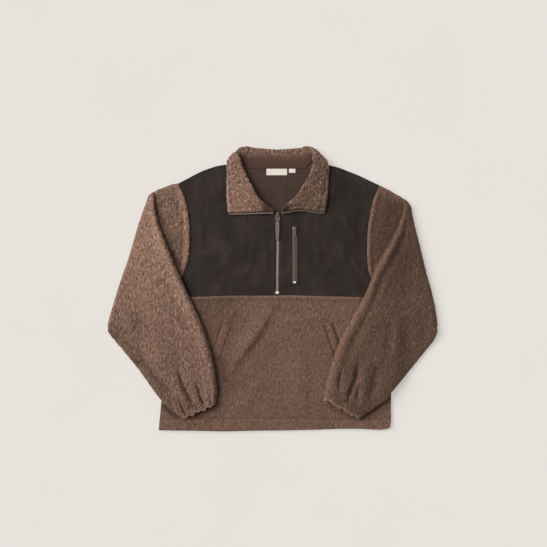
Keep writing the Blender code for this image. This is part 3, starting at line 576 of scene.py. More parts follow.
class Look:
    """A Principled material and short calls that add nodes to it."""

    def __init__(self, name, rough, metal=0.0, sheen=0.0, sheen_rough=0.5, spec=0.5):
        self.m = bpy.data.materials.new(name)
        self.m.use_nodes = True
        self.t = self.m.node_tree
        self.p = self.t.nodes["Principled BSDF"]
        self.p.inputs["Roughness"].default_value = rough
        self.p.inputs["Metallic"].default_value = metal
        self.p.inputs["Sheen Weight"].default_value = sheen
        self.p.inputs["Sheen Roughness"].default_value = sheen_rough
        self.p.inputs["Specular IOR Level"].default_value = spec
        self.at = self.t.nodes.new("ShaderNodeTexCoord").outputs["Object"]

    def add(self, kind, **values):
        n = self.t.nodes.new(kind)
        for k, v in values.items():
            if k in n.inputs:
                n.inputs[k].default_value = v
        return n

    def link(self, a, b):
        self.t.links.new(a, b)

    def field(self, key):
        n = self.t.nodes.new("ShaderNodeAttribute")
        n.attribute_type = "GEOMETRY"
        n.attribute_name = key
        return n.outputs["Vector" if key == "lean" else "Fac"]

    def brushed(self):
        """The surface's normal, turned the way the pile is brushed."""
        at = self.t.nodes.new("ShaderNodeNewGeometry").outputs["Normal"]
        total = self.t.nodes.new("ShaderNodeVectorMath")
        total.operation = "ADD"
        self.link(at, total.inputs[0])
        self.link(self.field("lean"), total.inputs[1])
        unit = self.t.nodes.new("ShaderNodeVectorMath")
        unit.operation = "NORMALIZE"
        self.link(total.outputs[0], unit.inputs[0])
        return unit.outputs[0]

    def noise(self, scale, detail=2.0, rough=0.55, at=None):
        n = self.add("ShaderNodeTexNoise", Scale=scale, Detail=detail, Roughness=rough)
        self.link(at or self.at, n.inputs["Vector"])
        return n.outputs["Fac"]

    def cells(self, scale):
        n = self.add("ShaderNodeTexVoronoi", Scale=scale)
        self.link(self.at, n.inputs["Vector"])
        return n.outputs["Distance"]

    def stretched(self, sx, sy, sz, turn=0.0):
        n = self.t.nodes.new("ShaderNodeMapping")
        n.inputs["Scale"].default_value = (sx, sy, sz)
        n.inputs["Rotation"].default_value = (0.0, 0.0, turn)
        self.link(self.at, n.inputs["Vector"])
        return n.outputs["Vector"]

    def math(self, op, a, b):
        n = self.t.nodes.new("ShaderNodeMath")
        n.operation = op
        for k, v in ((0, a), (1, b)):
            if isinstance(v, (int, float)):
                n.inputs[k].default_value = v
            else:
                self.link(v, n.inputs[k])
        return n.outputs[0]

    def ramp(self, fac, stops):
        n = self.t.nodes.new("ShaderNodeValToRGB")
        e = n.color_ramp.elements
        while len(e) < len(stops):
            e.new(0.5)
        for k, (pos, col) in enumerate(stops):
            e[k].position = pos
            e[k].color = col
        self.link(fac, n.inputs["Fac"])
        return n.outputs["Color"]

    def mix(self, kind, fac, a, b):
        n = self.t.nodes.new("ShaderNodeMix")
        n.data_type = "RGBA"
        n.blend_type = kind
        for socket, v in ((n.inputs[0], fac), (n.inputs[6], a), (n.inputs[7], b)):
            if isinstance(v, (int, float, tuple)):
                socket.default_value = v
            else:
                self.link(v, socket)
        return n.outputs[2]

    def bump(self, height, strength, distance, then=None):
        n = self.add("ShaderNodeBump", Strength=strength, Distance=distance)
        self.link(height, n.inputs["Height"])
        if then is not None:
            self.link(then, n.inputs["Normal"])
        self.link(n.outputs["Normal"], self.p.inputs["Normal"])
        return n.outputs["Normal"]

    def colour(self, socket):
        self.link(socket, self.p.inputs["Base Color"])
        return self.m


def fleece(name, k=1.0, warm=1.0, crisp=1.0):
    """Curly pile: dark between the clumps, pale pinkish beige on their crowns."""
    w = Look(name, 0.95, sheen=0.22, sheen_rough=0.6, spec=0.1)
    w.p.inputs["Sheen Tint"].default_value = (0.86, 0.68, 0.58, 1.0)

    def c(r, g, b):
        v = rgb(r, g, b)
        return v[0] * k * warm, v[1] * k, v[2] * k / warm, 1.0
    curl = w.noise(260.0, 4.0, 0.62)
    streak = w.noise(1.0, 3.0, 0.65, w.stretched(430.0, 120.0, 300.0, 0.06))
    f = w.math("ADD", w.math("MULTIPLY", curl, 0.42), w.math("MULTIPLY", streak, 0.58))
    low, high = 0.5 - 0.20 / crisp, 0.5 + 0.20 / crisp
    col = w.ramp(f, ((low, c(80, 58, 47)), (0.47, c(112, 87, 74)), (0.56, c(126, 99, 86)),
                     (high, c(160, 131, 116))))
    patch = w.noise(11.0, 3.0, 0.55)
    tone = w.ramp(patch, ((0.30, (0.90, 0.89, 0.89, 1.0)), (0.72, (1.0, 1.0, 1.0, 1.0))))
    hue = w.ramp(w.noise(34.0, 2.0), ((0.3, (1.0, 0.94, 0.91, 1.0)), (0.7, (0.97, 1.0, 0.98, 1.0))))
    col = w.mix("MULTIPLY", 1.0, col, tone)
    col = w.mix("MULTIPLY", 0.8, col, hue)
    col = w.mix("MIX", w.field("plain"), col, rgb(82, 60, 53))
    # The tone attribute lightens or darkens the colour, mostly with painted shade and painted highlights.
    col = w.mix("MULTIPLY", 1.0, col, w.field("tone"))
    low = w.bump(w.noise(330.0, 3.0, 0.62), 0.55, 0.0011, w.brushed())
    w.bump(w.noise(1300.0, 2.0, 0.7), 0.35, 0.0004, low)
    return w.colour(col)


def knit_back(name, base):
    """The smooth knitted reverse of the fleece: fine ribs and a slight mottle."""
    w = Look(name, 0.88, sheen=0.12, sheen_rough=0.5, spec=0.2)
    r, g, b, _ = base
    mottle = w.noise(70.0, 3.0, 0.6)
    col = w.ramp(mottle, ((0.30, (r * 0.86, g * 0.86, b * 0.86, 1.0)),
                          (0.70, (r * 1.12, g * 1.12, b * 1.12, 1.0))))
    rib = w.noise(1.0, 1.0, 0.4, w.stretched(900.0, 160.0, 300.0))
    w.bump(rib, 0.35, 0.0003)
    return w.colour(col)


def shell_cloth(name):
    """Close dark woven cloth with a fine twill line, a soft bloom and faint worn streaks."""
    w = Look(name, 0.72, sheen=0.05, sheen_rough=0.4, spec=0.2)
    bloom = w.noise(16.0, 4.0, 0.62)
    streak = w.noise(1.0, 3.0, 0.6, w.stretched(90.0, 26.0, 60.0, 0.6))
    f = w.math("ADD", w.math("MULTIPLY", bloom, 0.74), w.math("MULTIPLY", streak, 0.26))
    col = w.ramp(f, ((0.30, rgb(31, 24, 21)), (0.51, rgb(41, 32, 28)), (0.72, rgb(57, 48, 42))))
    twill = w.t.nodes.new("ShaderNodeTexWave")
    twill.inputs["Scale"].default_value = 1.0
    twill.inputs["Distortion"].default_value = 0.6
    w.link(w.stretched(420.0, 420.0, 420.0, 0.78), twill.inputs["Vector"])
    low = w.bump(twill.outputs["Fac"], 0.28, 0.00025)
    w.bump(w.noise(58.0, 3.0, 0.55), 0.35, 0.0016, low)
    return w.colour(col)


def tape_cloth(name, base):
    w = Look(name, 0.82, sheen=0.1, spec=0.25)
    r, g, b, _ = base
    rib = w.noise(1.0, 1.0, 0.5, w.stretched(500.0, 1500.0, 500.0))
    col = w.ramp(rib, ((0.35, (r * 0.75, g * 0.75, b * 0.75, 1.0)),
                       (0.65, (r * 1.2, g * 1.2, b * 1.2, 1.0))))
    w.bump(rib, 0.5, 0.0003)
    return w.colour(col)


def moulded(name, base, rough=0.42):
    w = Look(name, rough, spec=0.45)
    r, g, b, _ = base
    n = w.noise(260.0, 3.0, 0.6)
    col = w.ramp(n, ((0.32, (r * 0.84, g * 0.84, b * 0.84, 1.0)),
                     (0.70, (r * 1.14, g * 1.14, b * 1.14, 1.0))))
    w.bump(w.noise(1400.0, 2.0), 0.2, 0.0002)
    return w.colour(col)


def worn_metal(name, base, rough=0.34):
    """Plated metal, brighter where it rubs, with fine scratches along it."""
    w = Look(name, rough, metal=1.0)
    r, g, b, _ = base
    n = w.noise(300.0, 4.0, 0.65)
    col = w.ramp(n, ((0.30, (r * 0.72, g * 0.70, b * 0.68, 1.0)), (0.66, base)))
    scratch = w.noise(1.0, 3.0, 0.7, w.stretched(2600.0, 240.0, 900.0, 0.2))
    w.bump(scratch, 0.25, 0.0001)
    return w.colour(col)


def woven_label(name):
    w = Look(name, 0.74, sheen=0.15, spec=0.25)
    n = w.noise(1.0, 2.0, 0.5, w.stretched(1500.0, 420.0, 900.0))
    col = w.ramp(n, ((0.30, rgb(206, 196, 186)), (0.70, rgb(234, 227, 218))))
    w.bump(n, 0.4, 0.0002)
    return w.colour(col)


# Each piece gets its own copy of the fleece colour; the left sleeve's copy is lighter than the body's, painted light
# for the sleeve that faces the key light.
FLEECE_BODY = fleece("fleece_body", 0.75, 1.02, crisp=1.35)
FLEECE_LEFT_PAINTED_LIT = fleece("fleece_left_sleeve_painted_lit", 0.98, crisp=2.0)
FLEECE_RIGHT = fleece("fleece_right_sleeve", 0.76, 1.03, crisp=1.35)
FLEECE_COLLAR = fleece("fleece_collar", 0.98, crisp=2.4)
REVERSE = knit_back("fleece_reverse", rgb(66, 50, 43))
REVERSE_DARK = knit_back("cloth_reverse", rgb(52, 43, 39))
YOKE = shell_cloth("yoke_shell_cloth")
TAPE = tape_cloth("zip_tape_weave", rgb(94, 82, 74))
COIL = moulded("zip_coil_nylon", rgb(162, 150, 142))
COIL_DARK = moulded("zip_coil_taupe", rgb(104, 90, 81))
# The sand coil colour is a lighter copy used for the collar zip's left half: painted light.
COIL_PAINTED_LIT_SIDE = moulded("zip_coil_painted_lit_side", rgb(146, 126, 111))
METAL = worn_metal("zip_metal_worn", rgb(168, 158, 148))
METAL_DULL = moulded("zip_metal_coated", rgb(108, 96, 87), 0.5)
# The bright stop finish is near-white and only a quarter metallic: its pale colour is a painted reflection that stands
# in for the stop's shine.
METAL_PAINTED_SHINE = worn_metal("zip_metal_painted_shine", rgb(240, 236, 230), 0.45)
METAL_PAINTED_SHINE.node_tree.nodes["Principled BSDF"].inputs["Metallic"].default_value = 0.25


def stop_with_painted_glint(name, middle, half):
    """A coated stop whose middle is painted near-white, a painted highlight, darkening to its coating towards the ends.
    """
    w = Look(name, 0.45, metal=0.2)
    split = w.t.nodes.new("ShaderNodeSeparateXYZ")
    w.link(w.at, split.inputs[0])
    away = w.math("DIVIDE", w.math("ABSOLUTE", w.math("SUBTRACT", split.outputs[0], middle), 0.0), half)
    grain = w.math("MULTIPLY", w.noise(600.0, 3.0, 0.6), 0.5)
    # near-white across the middle and dark towards the ends: a painted highlight
    col = w.ramp(w.math("ADD", away, w.math("SUBTRACT", grain, 0.25)),
                 ((0.55, rgb(236, 230, 222)), (0.95, rgb(74, 64, 57))))
    return w.colour(col)


CHEST_STOP = stop_with_painted_glint("chest_stop_painted_glint", 0.041, 0.0042)
TAB = moulded("pull_tab_moulded", rgb(106, 94, 86), 0.55)
LABEL_CLOTH = woven_label("label_weave")
THREAD = moulded("thread_dark", rgb(44, 36, 33), 0.7)


def declare(obj, node, body="garment"):
    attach(obj, body)
    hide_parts(*([node] if isinstance(node, str) else node))
    return obj


# ---------------------------------------------------------------- front
def hem_rise(x, y):
    wx = [w[0] for w in HEM_WAVE]
    return np.interp(x, wx, [w[1] for w in HEM_WAVE]) * smooth((HEM_Y + 46.0 - y) / 46.0)


def front_soft(x, y):
    """How much the front's cloth stands above its plain panel."""
    free = 1.0 - shade_cover(x, y)
    mid = smooth((150.0 - np.abs(x + 12.0)) / 95.0)
    lift = 3.4 * mid * smooth((y - HEM_Y) / 70.0) * smooth((YOKE_SEAM_Y - y) / 60.0)
    p = np.stack([x, y, np.zeros_like(x)], -1)
    lift = lift + 0.8 * free * (billow(p, 74.0, 3) + 0.5) + 0.45 * free * billow(p, 31.0, 8)
    lift = lift + 1.5 * creases(x, y, FRONT_CREASES) * free
    # the turned hem is double, with a sunk row of stitches above it
    lift = lift + 0.9 * smooth((HEM_Y + HEM_BAND - y) / 4.0)
    lift = lift - 1.2 * np.exp(-((y - HEM_Y - HEM_BAND - 1.5) / 2.6) ** 2)
    # the fleece rolls up along the yoke seam
    lift = lift + 1.7 * np.exp(-((y - YOKE_SEAM_Y + 5.2) / 4.2) ** 2) * free
    for side in ("left", "right"):
        x0, y0, x1, y1, wide = WELTS[side]
        dx, dy = x1 - x0, y1 - y0
        n = math.hypot(dx, dy)
        ex, ey = dx / n, dy / n
        t = ((x - x0) * ex + (y - y0) * ey) / n
        off = (x - x0) * ey * -1.0 + (y - y0) * ex
        ends = smooth((t + 0.03) / 0.06) * smooth((1.03 - t) / 0.06)
        for place in (-wide / 2.0 - 1.0, wide / 2.0 + 1.0):
            lift = lift - WELT_DEPTH[side] * ends * np.exp(-((off - place) / 2.6) ** 2)
        lift = lift + 0.7 * ends * np.exp(-(off / (wide * 0.8)) ** 2)
    return np.maximum(lift, -0.35)


def front_skin(x, y):
    return panel_top(x, y) + front_soft(x, y)


def seam_sag(x, y):
    """The yoke seam bows: highest at the zip, lower towards both armholes."""
    share = np.where(x < 0.0, x / -250.0, x / 250.0)
    drop = 1.5 - np.where(x < 0.0, 4.6, 7.4) * np.clip(share, 0.0, 1.1) ** 2
    drop = drop + 0.5 * np.sin(x / 23.0)
    return drop * np.exp(-((y - YOKE_SEAM_Y) / 34.0) ** 2)


ys = HEM_Y + marks(YOKE_SEAM_Y - SEAM_GAP - HEM_Y, 1.8)
ss = marks(1.0, 1.0 / 322.0, (0.0009, 0.0021, 0.0039, 0.0063))
YY, SS = np.meshgrid(ys, ss, indexing="ij")
LX, RX = edge_x(YY)
XX = lerp(LX + 0.15, RX - 0.15, SS)
YY = YY + hem_rise(XX, YY)
free = 1.0 - shade_cover(XX, YY)
top = front_skin(XX, YY)
MID = np.stack([XX, YY + seam_sag(XX, YY), top - PILE_WALL / 2.0], -1)
curl = pile(MID, 21)
nap = curl * (0.25 + 0.55 * free)


def front_tone_and_painted_light(x, y):
    """The front's pile colour made lighter or darker: painted shade in crease troughs, beside the left sleeve, in the
    hem's sunk stitch row, along the hem's bottom edge, below the cuffs and along the welts; painted highlights on
    crease ridges and on the fleece rolled up along the yoke seam; and two faint broad patches.
    """
    free = 1.0 - shade_cover(x, y)
    # painted highlight on the creases' ridges and painted shade in their troughs
    t = 1.0 + 0.055 * 1.5 * creases(x, y, FRONT_CREASES) * free
    # painted shade beside the left sleeve and under its edge at the yoke seam
    t = t - 0.22 * np.exp(-((x + 124.0) / 32.0) ** 2) * smooth((y + 290.0) / 80.0)
    t = t - 0.20 * np.exp(-(((x + 178.0) / 18.0) ** 2 + ((y + 48.0) / 34.0) ** 2))
    t = t - 0.05 * np.exp(-((x - 118.0) / 24.0) ** 2) * smooth((-60.0 - y) / 60.0)
    t = t + 0.06 * np.exp(-(((x - 92.0) / 46.0) ** 2 + ((y + 190.0) / 90.0) ** 2))
    # painted highlight on the fleece rolled up along the yoke seam, painted shade just below it
    t = t + 0.20 * np.exp(-((y - YOKE_SEAM_Y + 3.0) / 3.0) ** 2)
    t = t - 0.14 * np.exp(-((y - YOKE_SEAM_Y + 9.5) / 3.0) ** 2)
    # painted shade in the hem's sunk stitch row and along its bottom edge; the hem band a touch lighter
    t = t - (0.10 + 0.14 * smooth((x - 20.0) / 90.0)) * np.exp(-((y - HEM_Y - HEM_BAND - 1.5) / 2.2) ** 2)
    t = t - 0.17 * smooth((HEM_Y + 4.5 - y) / 3.5)
    t = t + 0.05 * smooth((HEM_Y + HEM_BAND - y) / 4.0)
    # painted shadow below the cuff ends and along the right cuff's lower edge
    for end, deep in ((px((217, 404), (200, 413), (185, 421)), -0.34),
                      (px((322, 401), (340, 411), (358, 420.5)), -0.34),
                      (px((160, 403), (171, 412.5), (183, 421.5)), -0.58),
                      (px((358, 420.5), (375, 409), (391, 394)), -0.26)):
        t = t + crease(x, y, end, 6.5, 6.5, deep)
    # painted shade along both edges of each welt, deeper on the right welt's outer edge
    for side in ("left", "right"):
        x0, y0, x1, y1, wide = WELTS[side]
        n = math.hypot(x1 - x0, y1 - y0)
        ex, ey = (x1 - x0) / n, (y1 - y0) / n
        s = ((x - x0) * ex + (y - y0) * ey) / n
        off = (x - x0) * -ey + (y - y0) * ex
        ends = smooth((s + 0.02) / 0.05) * smooth((1.02 - s) / 0.05)
        for place in (-wide / 2.0 - 1.0, wide / 2.0 + 1.0):
            outer = 1.8 if side == "right" and place * -ey > 0.0 else 1.15
            t = t - 0.22 * outer * WELT_DEPTH[side] * ends * np.exp(-((off - place) / 2.4) ** 2)
    return np.maximum(t, 0.3)


# The front's tone also follows the pile: darker where it sinks between its clumps, painted shade.
front = shell("front_fleece", MID, PILE_WALL, [FLEECE_BODY, REVERSE], nap=nap, rounding=4.0,
              tone=front_tone_and_painted_light(XX, YY) * (1.0 + 0.11 * curl),
              pick=lambda o, i, a, b, c: np.repeat([0, 1, 0], [a, b, c]))
declare(front, "front_lower")

# ---------------------------------------------------------------- back


def back_edge(side, j):
    if j <= 9:
        return ARMHOLE[side][j]
    y = lerp(SIDES[0][0], HEM_Y, (j - 9) / 8.0)
    return float(np.interp(y, BODY_Y, BODY_L if side == "left" else BODY_R)), y


def inset(side, x, amount=SEAM_GAP / 2.0):
    return x + amount if side == "left" else x - amount


def back_point(i, j):
    j = 17 - j
    s = i / 12.0
    (lx, ly), (rx, ry) = back_edge("left", j), back_edge("right", j)
    if j >= 9:
        ry = ly
    lx, rx = inset("left", lx), inset("right", rx)
    x, y = lerp(lx, rx, s), lerp(ly, ry, s)
    pull = max(0.0, 1.0 - j / 5.0) ** 1.6
    tx, ty = BACK_TOP[i]
    line = lerp(ARMHOLE["left"][0][1], ARMHOLE["right"][0][1], s)
    x = lerp(x, lerp(lx, rx, (tx - BACK_TOP[0][0]) / (BACK_TOP[-1][0] - BACK_TOP[0][0])), pull)
    y += (ty - line) * pull
    return x, y, 0.0


ctl = grid_of(back_point, 12, 17)
bv, bu = places(ctl, 3.0, rim=RIM), places(np.swapaxes(ctl, 0, 1), 3.0, rim=RIM)
B = refine(ctl, bv, bu)
B[..., 1] += hem_rise(B[..., 0], B[..., 1])
under = neck_lift(B[..., 0], B[..., 1])
B[..., 2] = PILE_WALL / 2.0 + under
nap = (pile(B, 43) - 1.0) * 0.45
# the back's pile is darker where it sinks between its clumps: painted shade
back = shell("back_fleece", B, PILE_WALL, [FLEECE_BODY, REVERSE], side=-1.0, nap=nap,
             tone=1.0 + 0.2 * nap, rounding=3.4, floor=0.02, pick=lambda o, i, a, b, c: np.repeat([0, 1, 0], [a, b, c]))
declare(back, "back")


# ---------------------------------------------------------------- yoke
def yoke_point(side, i, j):
    sx = -1.0 if side == "left" else 1.0
    ax, ay = ARMHOLE[side][YOKE_ROW - j]
    ax = inset(side, ax)
    if j <= 4:
        cx, cy = ZIP_SLIT_HALF, lerp(YOKE_SEAM_Y, NECK_FRONT[0][1], j / 4.0)
        if j == 4:
            cx = NECK_FRONT[0][0]
    else:
        cx, cy = cubic(np.array(NECK_FRONT), [(j - 4) * 6.0 / 4.0])[0]
    s = i / 7.0
    x, y = lerp(sx * cx, ax, s), lerp(cy, ay, s)
    bulge = (20.0 if side == "left" else 13.0) * math.sin(math.pi * s ** 0.9) ** 1.2 * 0.55
    return x, y + bulge * max(0.0, j - 3.0) / 5.0, 0.0


def yoke_soft(x, y):
    """Creases, seam puckers and the pressed edges beside the zips."""
    free = 1.0 - shade_cover(x, y)
    p = np.stack([x, y, np.zeros_like(x)], -1)
    lift = 0.5 * (billow(p, 60.0, 17) + 0.4) + 0.28 * billow(p, 24.0, 19)
    lift = lift + 1.35 * creases(x, y, YOKE_CREASES["left"] + YOKE_CREASES["right"])
    # puckers along the topstitched bottom seam
    pucker = billow(np.stack([x, y * 0.2, np.zeros_like(x)], -1), 8.0, 23)
    lift = lift + 0.28 * pucker * np.exp(-((y - YOKE_SEAM_Y - 9.0) / 9.0) ** 2)
    lift = lift - 0.5 * np.exp(-((y - YOKE_SEAM_Y - 12.0) / 1.8) ** 2)
    near_zip = np.exp(-((np.abs(x) - 8.0) / 4.0) ** 2) * smooth((186.0 - y) / 10.0)
    lift = lift + 0.45 * near_zip
    chest = np.exp(-((np.abs(x - 41.0) - 8.6) / 2.8) ** 2) * smooth((160.0 - y) / 6.0) * smooth((y - 8.0) / 6.0)
    lift = lift + 0.8 * chest
    return np.maximum(lift * (0.2 + 0.8 * free), -0.6)


def yoke_skin(x, y):
    return yoke_top(x, y) + yoke_soft(x, y)


for SIDE in ("left", "right"):
    ctl = grid_of(lambda i, j: yoke_point(SIDE, i, j), 7, 8)
    G = refine(ctl, places(ctl, 2.4, rim=(0.4, 1.0, 1.9)),
               places(np.swapaxes(ctl, 0, 1), 2.4, rim=(0.4, 1.0, 1.9)))
    G[..., 2] = yoke_skin(G[..., 0], G[..., 1]) - SHELL_WALL / 2.0
    G[..., 1] += seam_sag(G[..., 0], G[..., 1])
    o = shell("yoke_" + SIDE + "_shell", G, SHELL_WALL, [YOKE, REVERSE_DARK],
              side=-1.0 if SIDE == "left" else 1.0, rounding=1.6,
              pick=lambda o, i, a, b, c: np.repeat([0, 1, 0], [a, b, c]))
    declare(o, "yoke_" + SIDE)

# ---------------------------------------------------------------- sleeves
ACROSS, TURN, BASE_ROWS, ARC_ROWS = 9, 3, 3, 5
RING = 2 * (ACROSS + TURN)


def ring_place(k):
    k = k % RING
    if k <= ACROSS:
        return k / float(ACROSS), None, 1.0
    if k < ACROSS + TURN:
        return 1.0, (k - ACROSS) / float(TURN), 0.0
    if k <= 2 * ACROSS + TURN:
        return 1.0 - (k - ACROSS - TURN) / float(ACROSS), None, -1.0
    return 0.0, (k - 2 * ACROSS - TURN) / float(TURN), 0.0


def section_point(k, first, last, mid=None):
    half = (SLEEVE_STACK - PILE_WALL) / 2.0
    end = PILE_WALL / 2.0 + half
    s, turn, level = ring_place(k)
    dx, dy = last[0] - first[0], last[1] - first[1]
    width = math.hypot(dx, dy)
    e = (dx / width, dy / width)
    if mid is None:
        run = lerp(end, width - end, s)
        x, y = first[0] + e[0] * run, first[1] + e[1] * run
    else:
        x, y = mid(s)
        shift = end * (1.0 - 2.0 * s) if s in (0.0, 1.0) else 0.0
        x, y = x + e[0] * shift, y + e[1] * shift
    if turn is None:
        return x, y, SLEEVE_STACK / 2.0 + level * half
    angle = math.pi * turn
    if s == 1.0:
        x, y = x + e[0] * half * math.sin(angle), y + e[1] * half * math.sin(angle)
        return x, y, SLEEVE_STACK / 2.0 + half * math.cos(angle)
    x, y = x - e[0] * half * math.sin(angle), y - e[1] * half * math.sin(angle)
    return x, y, SLEEVE_STACK / 2.0 - half * math.cos(angle)


def fold_axis(side):
    x0, y0, x1, y1 = FOLD_LINE[side]
    dx, dy = x1 - x0, y1 - y0
    n = math.hypot(dx, dy)
    sx = -1.0 if side == "left" else 1.0
    out = (sx * abs(dy) / n, sx * dx / n * (1.0 if dy < 0 else -1.0))
    reach = FOLD_CLEAR + SLEEVE_STACK
    return ((x0 - out[0] * reach, y0 - out[1] * reach),
            (x1 - out[0] * reach, y1 - out[1] * reach), out)


def sleeve_under(side, x, y):
    sx = -1.0 if side == "left" else 1.0
    line = float(np.interp(min(y, SIDES[0][0]), BODY_Y, BODY_L if side == "left" else BODY_R))
    beside = sx * x - sx * line
    ux, uy = ARMHOLE[side][-1]
    bx, by = FOLD_LINE[side][2:]
    dx, dy = ux - bx, uy - by
    below = sx * ((x - bx) * dy - (y - by) * dx) / math.hypot(dx, dy) * -1.0
    gap = min(beside, abs(below) if below > 0 else 0.0)
    if gap <= 0.0:
        return SLEEVE_REST
    return lerp(SLEEVE_REST, SLEEVE_FLOOR, float(smooth(gap / SINK_RUN)))


def sleeve_point(side, k, j):
    sx = -1.0 if side == "left" else 1.0
    top_, bottom, out = fold_axis(side)
    if j < BASE_ROWS:
        f = j / float(BASE_ROWS)
        arm = ARMHOLE[side]

        def mid(s):
            ax, ay = arm[int(round(s * ACROSS))]
            fx, fy = lerp(top_[0], bottom[0], s), lerp(top_[1], bottom[1], s)
            return lerp(ax + sx * SEAM_GAP, fx, f), lerp(ay, fy, f)

        x, y, n = section_point(k, mid(0.0), mid(1.0), mid)
        return x, y, n + LIE
    if j <= BASE_ROWS + ARC_ROWS:
        x, y, n = section_point(k, top_, bottom)
        theta = math.pi * (j - BASE_ROWS) / float(ARC_ROWS)
        radius = FOLD_CLEAR + SLEEVE_STACK - n
        x += out[0] * math.sin(theta) * radius
        y += out[1] * math.sin(theta) * radius
        return x, y, LIE + FOLD_CLEAR + SLEEVE_STACK - math.cos(theta) * radius
    ix, iy, ox, oy = SLEEVE_ROWS[side][j - BASE_ROWS - ARC_ROWS - 1]
    x, y, n = section_point(k, (ix, iy), (ox, oy))
    return x, y, LIE + sleeve_under(side, x, y) + SLEEVE_STACK - n


LAST_ROW = BASE_ROWS + ARC_ROWS + 9
SLEEVE_LOOK = {"left": dict(roll=0.55, trough=0.8, high=8.8, salt=61),
               "right": dict(roll=1.5, trough=3.4, high=8.4, salt=83)}
# The sleeves' outer line, from the shoulder down to where they cross the body's sides
OUTLINE = {
    "left": px((147.2, 198), (145.8, 202), (142.9, 210), (137.4, 226), (132.8, 242), (128.1, 258),
               (122.4, 274), (117.1, 290), (112.3, 306), (108.7, 318), (107.2, 326), (107.5, 331),
               (112.3, 339), (125.0, 354), (137.9, 370), (149.9, 386), (161.0, 401)),
    "right": px((406.5, 200.0), (409.6, 203.4), (411.9, 207.4), (412.3, 212), (415.2, 226), (419.4, 242),
                (423.3, 258), (427.1, 274), (431.7, 290), (435.4, 306), (437.4, 318),
                (437.9, 326), (437.1, 334), (434.6, 341), (424.1, 354), (411.1, 370),
                (397.4, 386), (391.2, 393)),
}
SHOULDER = {
    "left": px((187.2, 178), (178, 181.6), (167.4, 186), (158, 189.6), (150.4, 193.4),
               (146.6, 199), (145.4, 203)),
    "right": px((365.1, 178), (373, 182), (379.2, 185.2), (385.3, 187.8), (393.0, 191.8),
                (403.3, 197.8), (408.3, 202.0), (411.7, 207.2)),
}


def to_outline(side, p):
    """Ease the sleeve's outer edge on to its outline and pull in what stands past the shoulder."""
    sx = -1.0 if side == "left" else 1.0
    out = np.array([(sx * a, b) for a, b in OUTLINE[side]])[::-1]
    high = np.array([(sx * a, b) for a, b in SHOULDER[side]])
    x, y = sx * p[..., 0], p[..., 1]
    rows = np.arange(out[0, 1], out[-1, 1] + 1.0, 2.0)
    reach = np.array([x[np.abs(y - r) < 3.0].max() for r in rows]) + PILE_WALL / 2.0 + 0.5
    gap = np.interp(rows, out[:, 1], out[:, 0]) - reach
    kernel = np.exp(-(np.arange(-8, 9) / 1.4) ** 2)
    gap = np.convolve(np.pad(gap, 8, mode="edge"), kernel / kernel.sum(), mode="valid")
    shift = np.interp(y, rows, gap) * smooth((y - rows[0] + 14.0) / 14.0)
    shift = shift * smooth((rows[-1] + 20.0 - y) / 20.0)
    full = np.interp(y, rows, reach)
    x = x + shift * smooth((x - full + 74.0) / 66.0)
    top = np.interp(x, high[:, 0], high[:, 1]) - PILE_WALL / 2.0 - 0.3
    over = np.where(x > high[0, 0], np.maximum(0.0, y - top), 0.0)
    y = y - over * 0.94
    # the cap is as full as its outline, from a little past the armhole seam to the fold
    cols = np.arange(242.0, high[-1, 0], 2.0)
    crest = np.array([y[np.abs(x - c) < 3.0].max() for c in cols]) + PILE_WALL / 2.0 + 0.5
    lift = np.clip(np.interp(cols, high[:, 0], high[:, 1]) - crest
                   + 2.0 * (1.0 - smooth((cols - 284.0) / 24.0)), 0.0, 8.0)
    kernel = np.exp(-(np.arange(-5, 6) / 2.2) ** 2)
    lift = np.convolve(np.pad(lift, 5, mode="edge"), kernel / kernel.sum(), mode="valid")
    y = y + (np.interp(x, cols, lift) * smooth((x - 238.0) / 20.0)
             * smooth((y - np.interp(x, cols, crest) + 46.0) / 42.0))
    p[..., 0], p[..., 1] = sx * x, y
    return p


def at_elbow(side, p):
    """Fill the small notch in the outer line where the fold's lower end meets the fore-arm."""
    sx = -1.0 if side == "left" else 1.0
    out = np.array([(sx * a, b) for a, b in OUTLINE[side]])[::-1]
    x, y = sx * p[..., 0], p[..., 1]
    rows = np.arange(-130.0, -60.0, 1.0)
    reach = np.array([x[np.abs(y - r) < 1.3].max() for r in rows]) + PILE_WALL / 2.0 + 0.5
    gap = np.clip(np.interp(rows, out[:, 1], out[:, 0]) - reach, -2.0, 9.0)
    kernel = np.exp(-(np.arange(-4, 5) / 0.9) ** 2)
    gap = np.convolve(np.pad(gap, 4, mode="edge"), kernel / kernel.sum(), mode="valid")
    near = np.exp(-(((y + 94.0) / 22.0) ** 4))
    full = np.interp(y, rows, reach)
    p[..., 0] = sx * (x + np.interp(y, rows, gap) * near * smooth((x - full + 26.0) / 20.0))
    return p


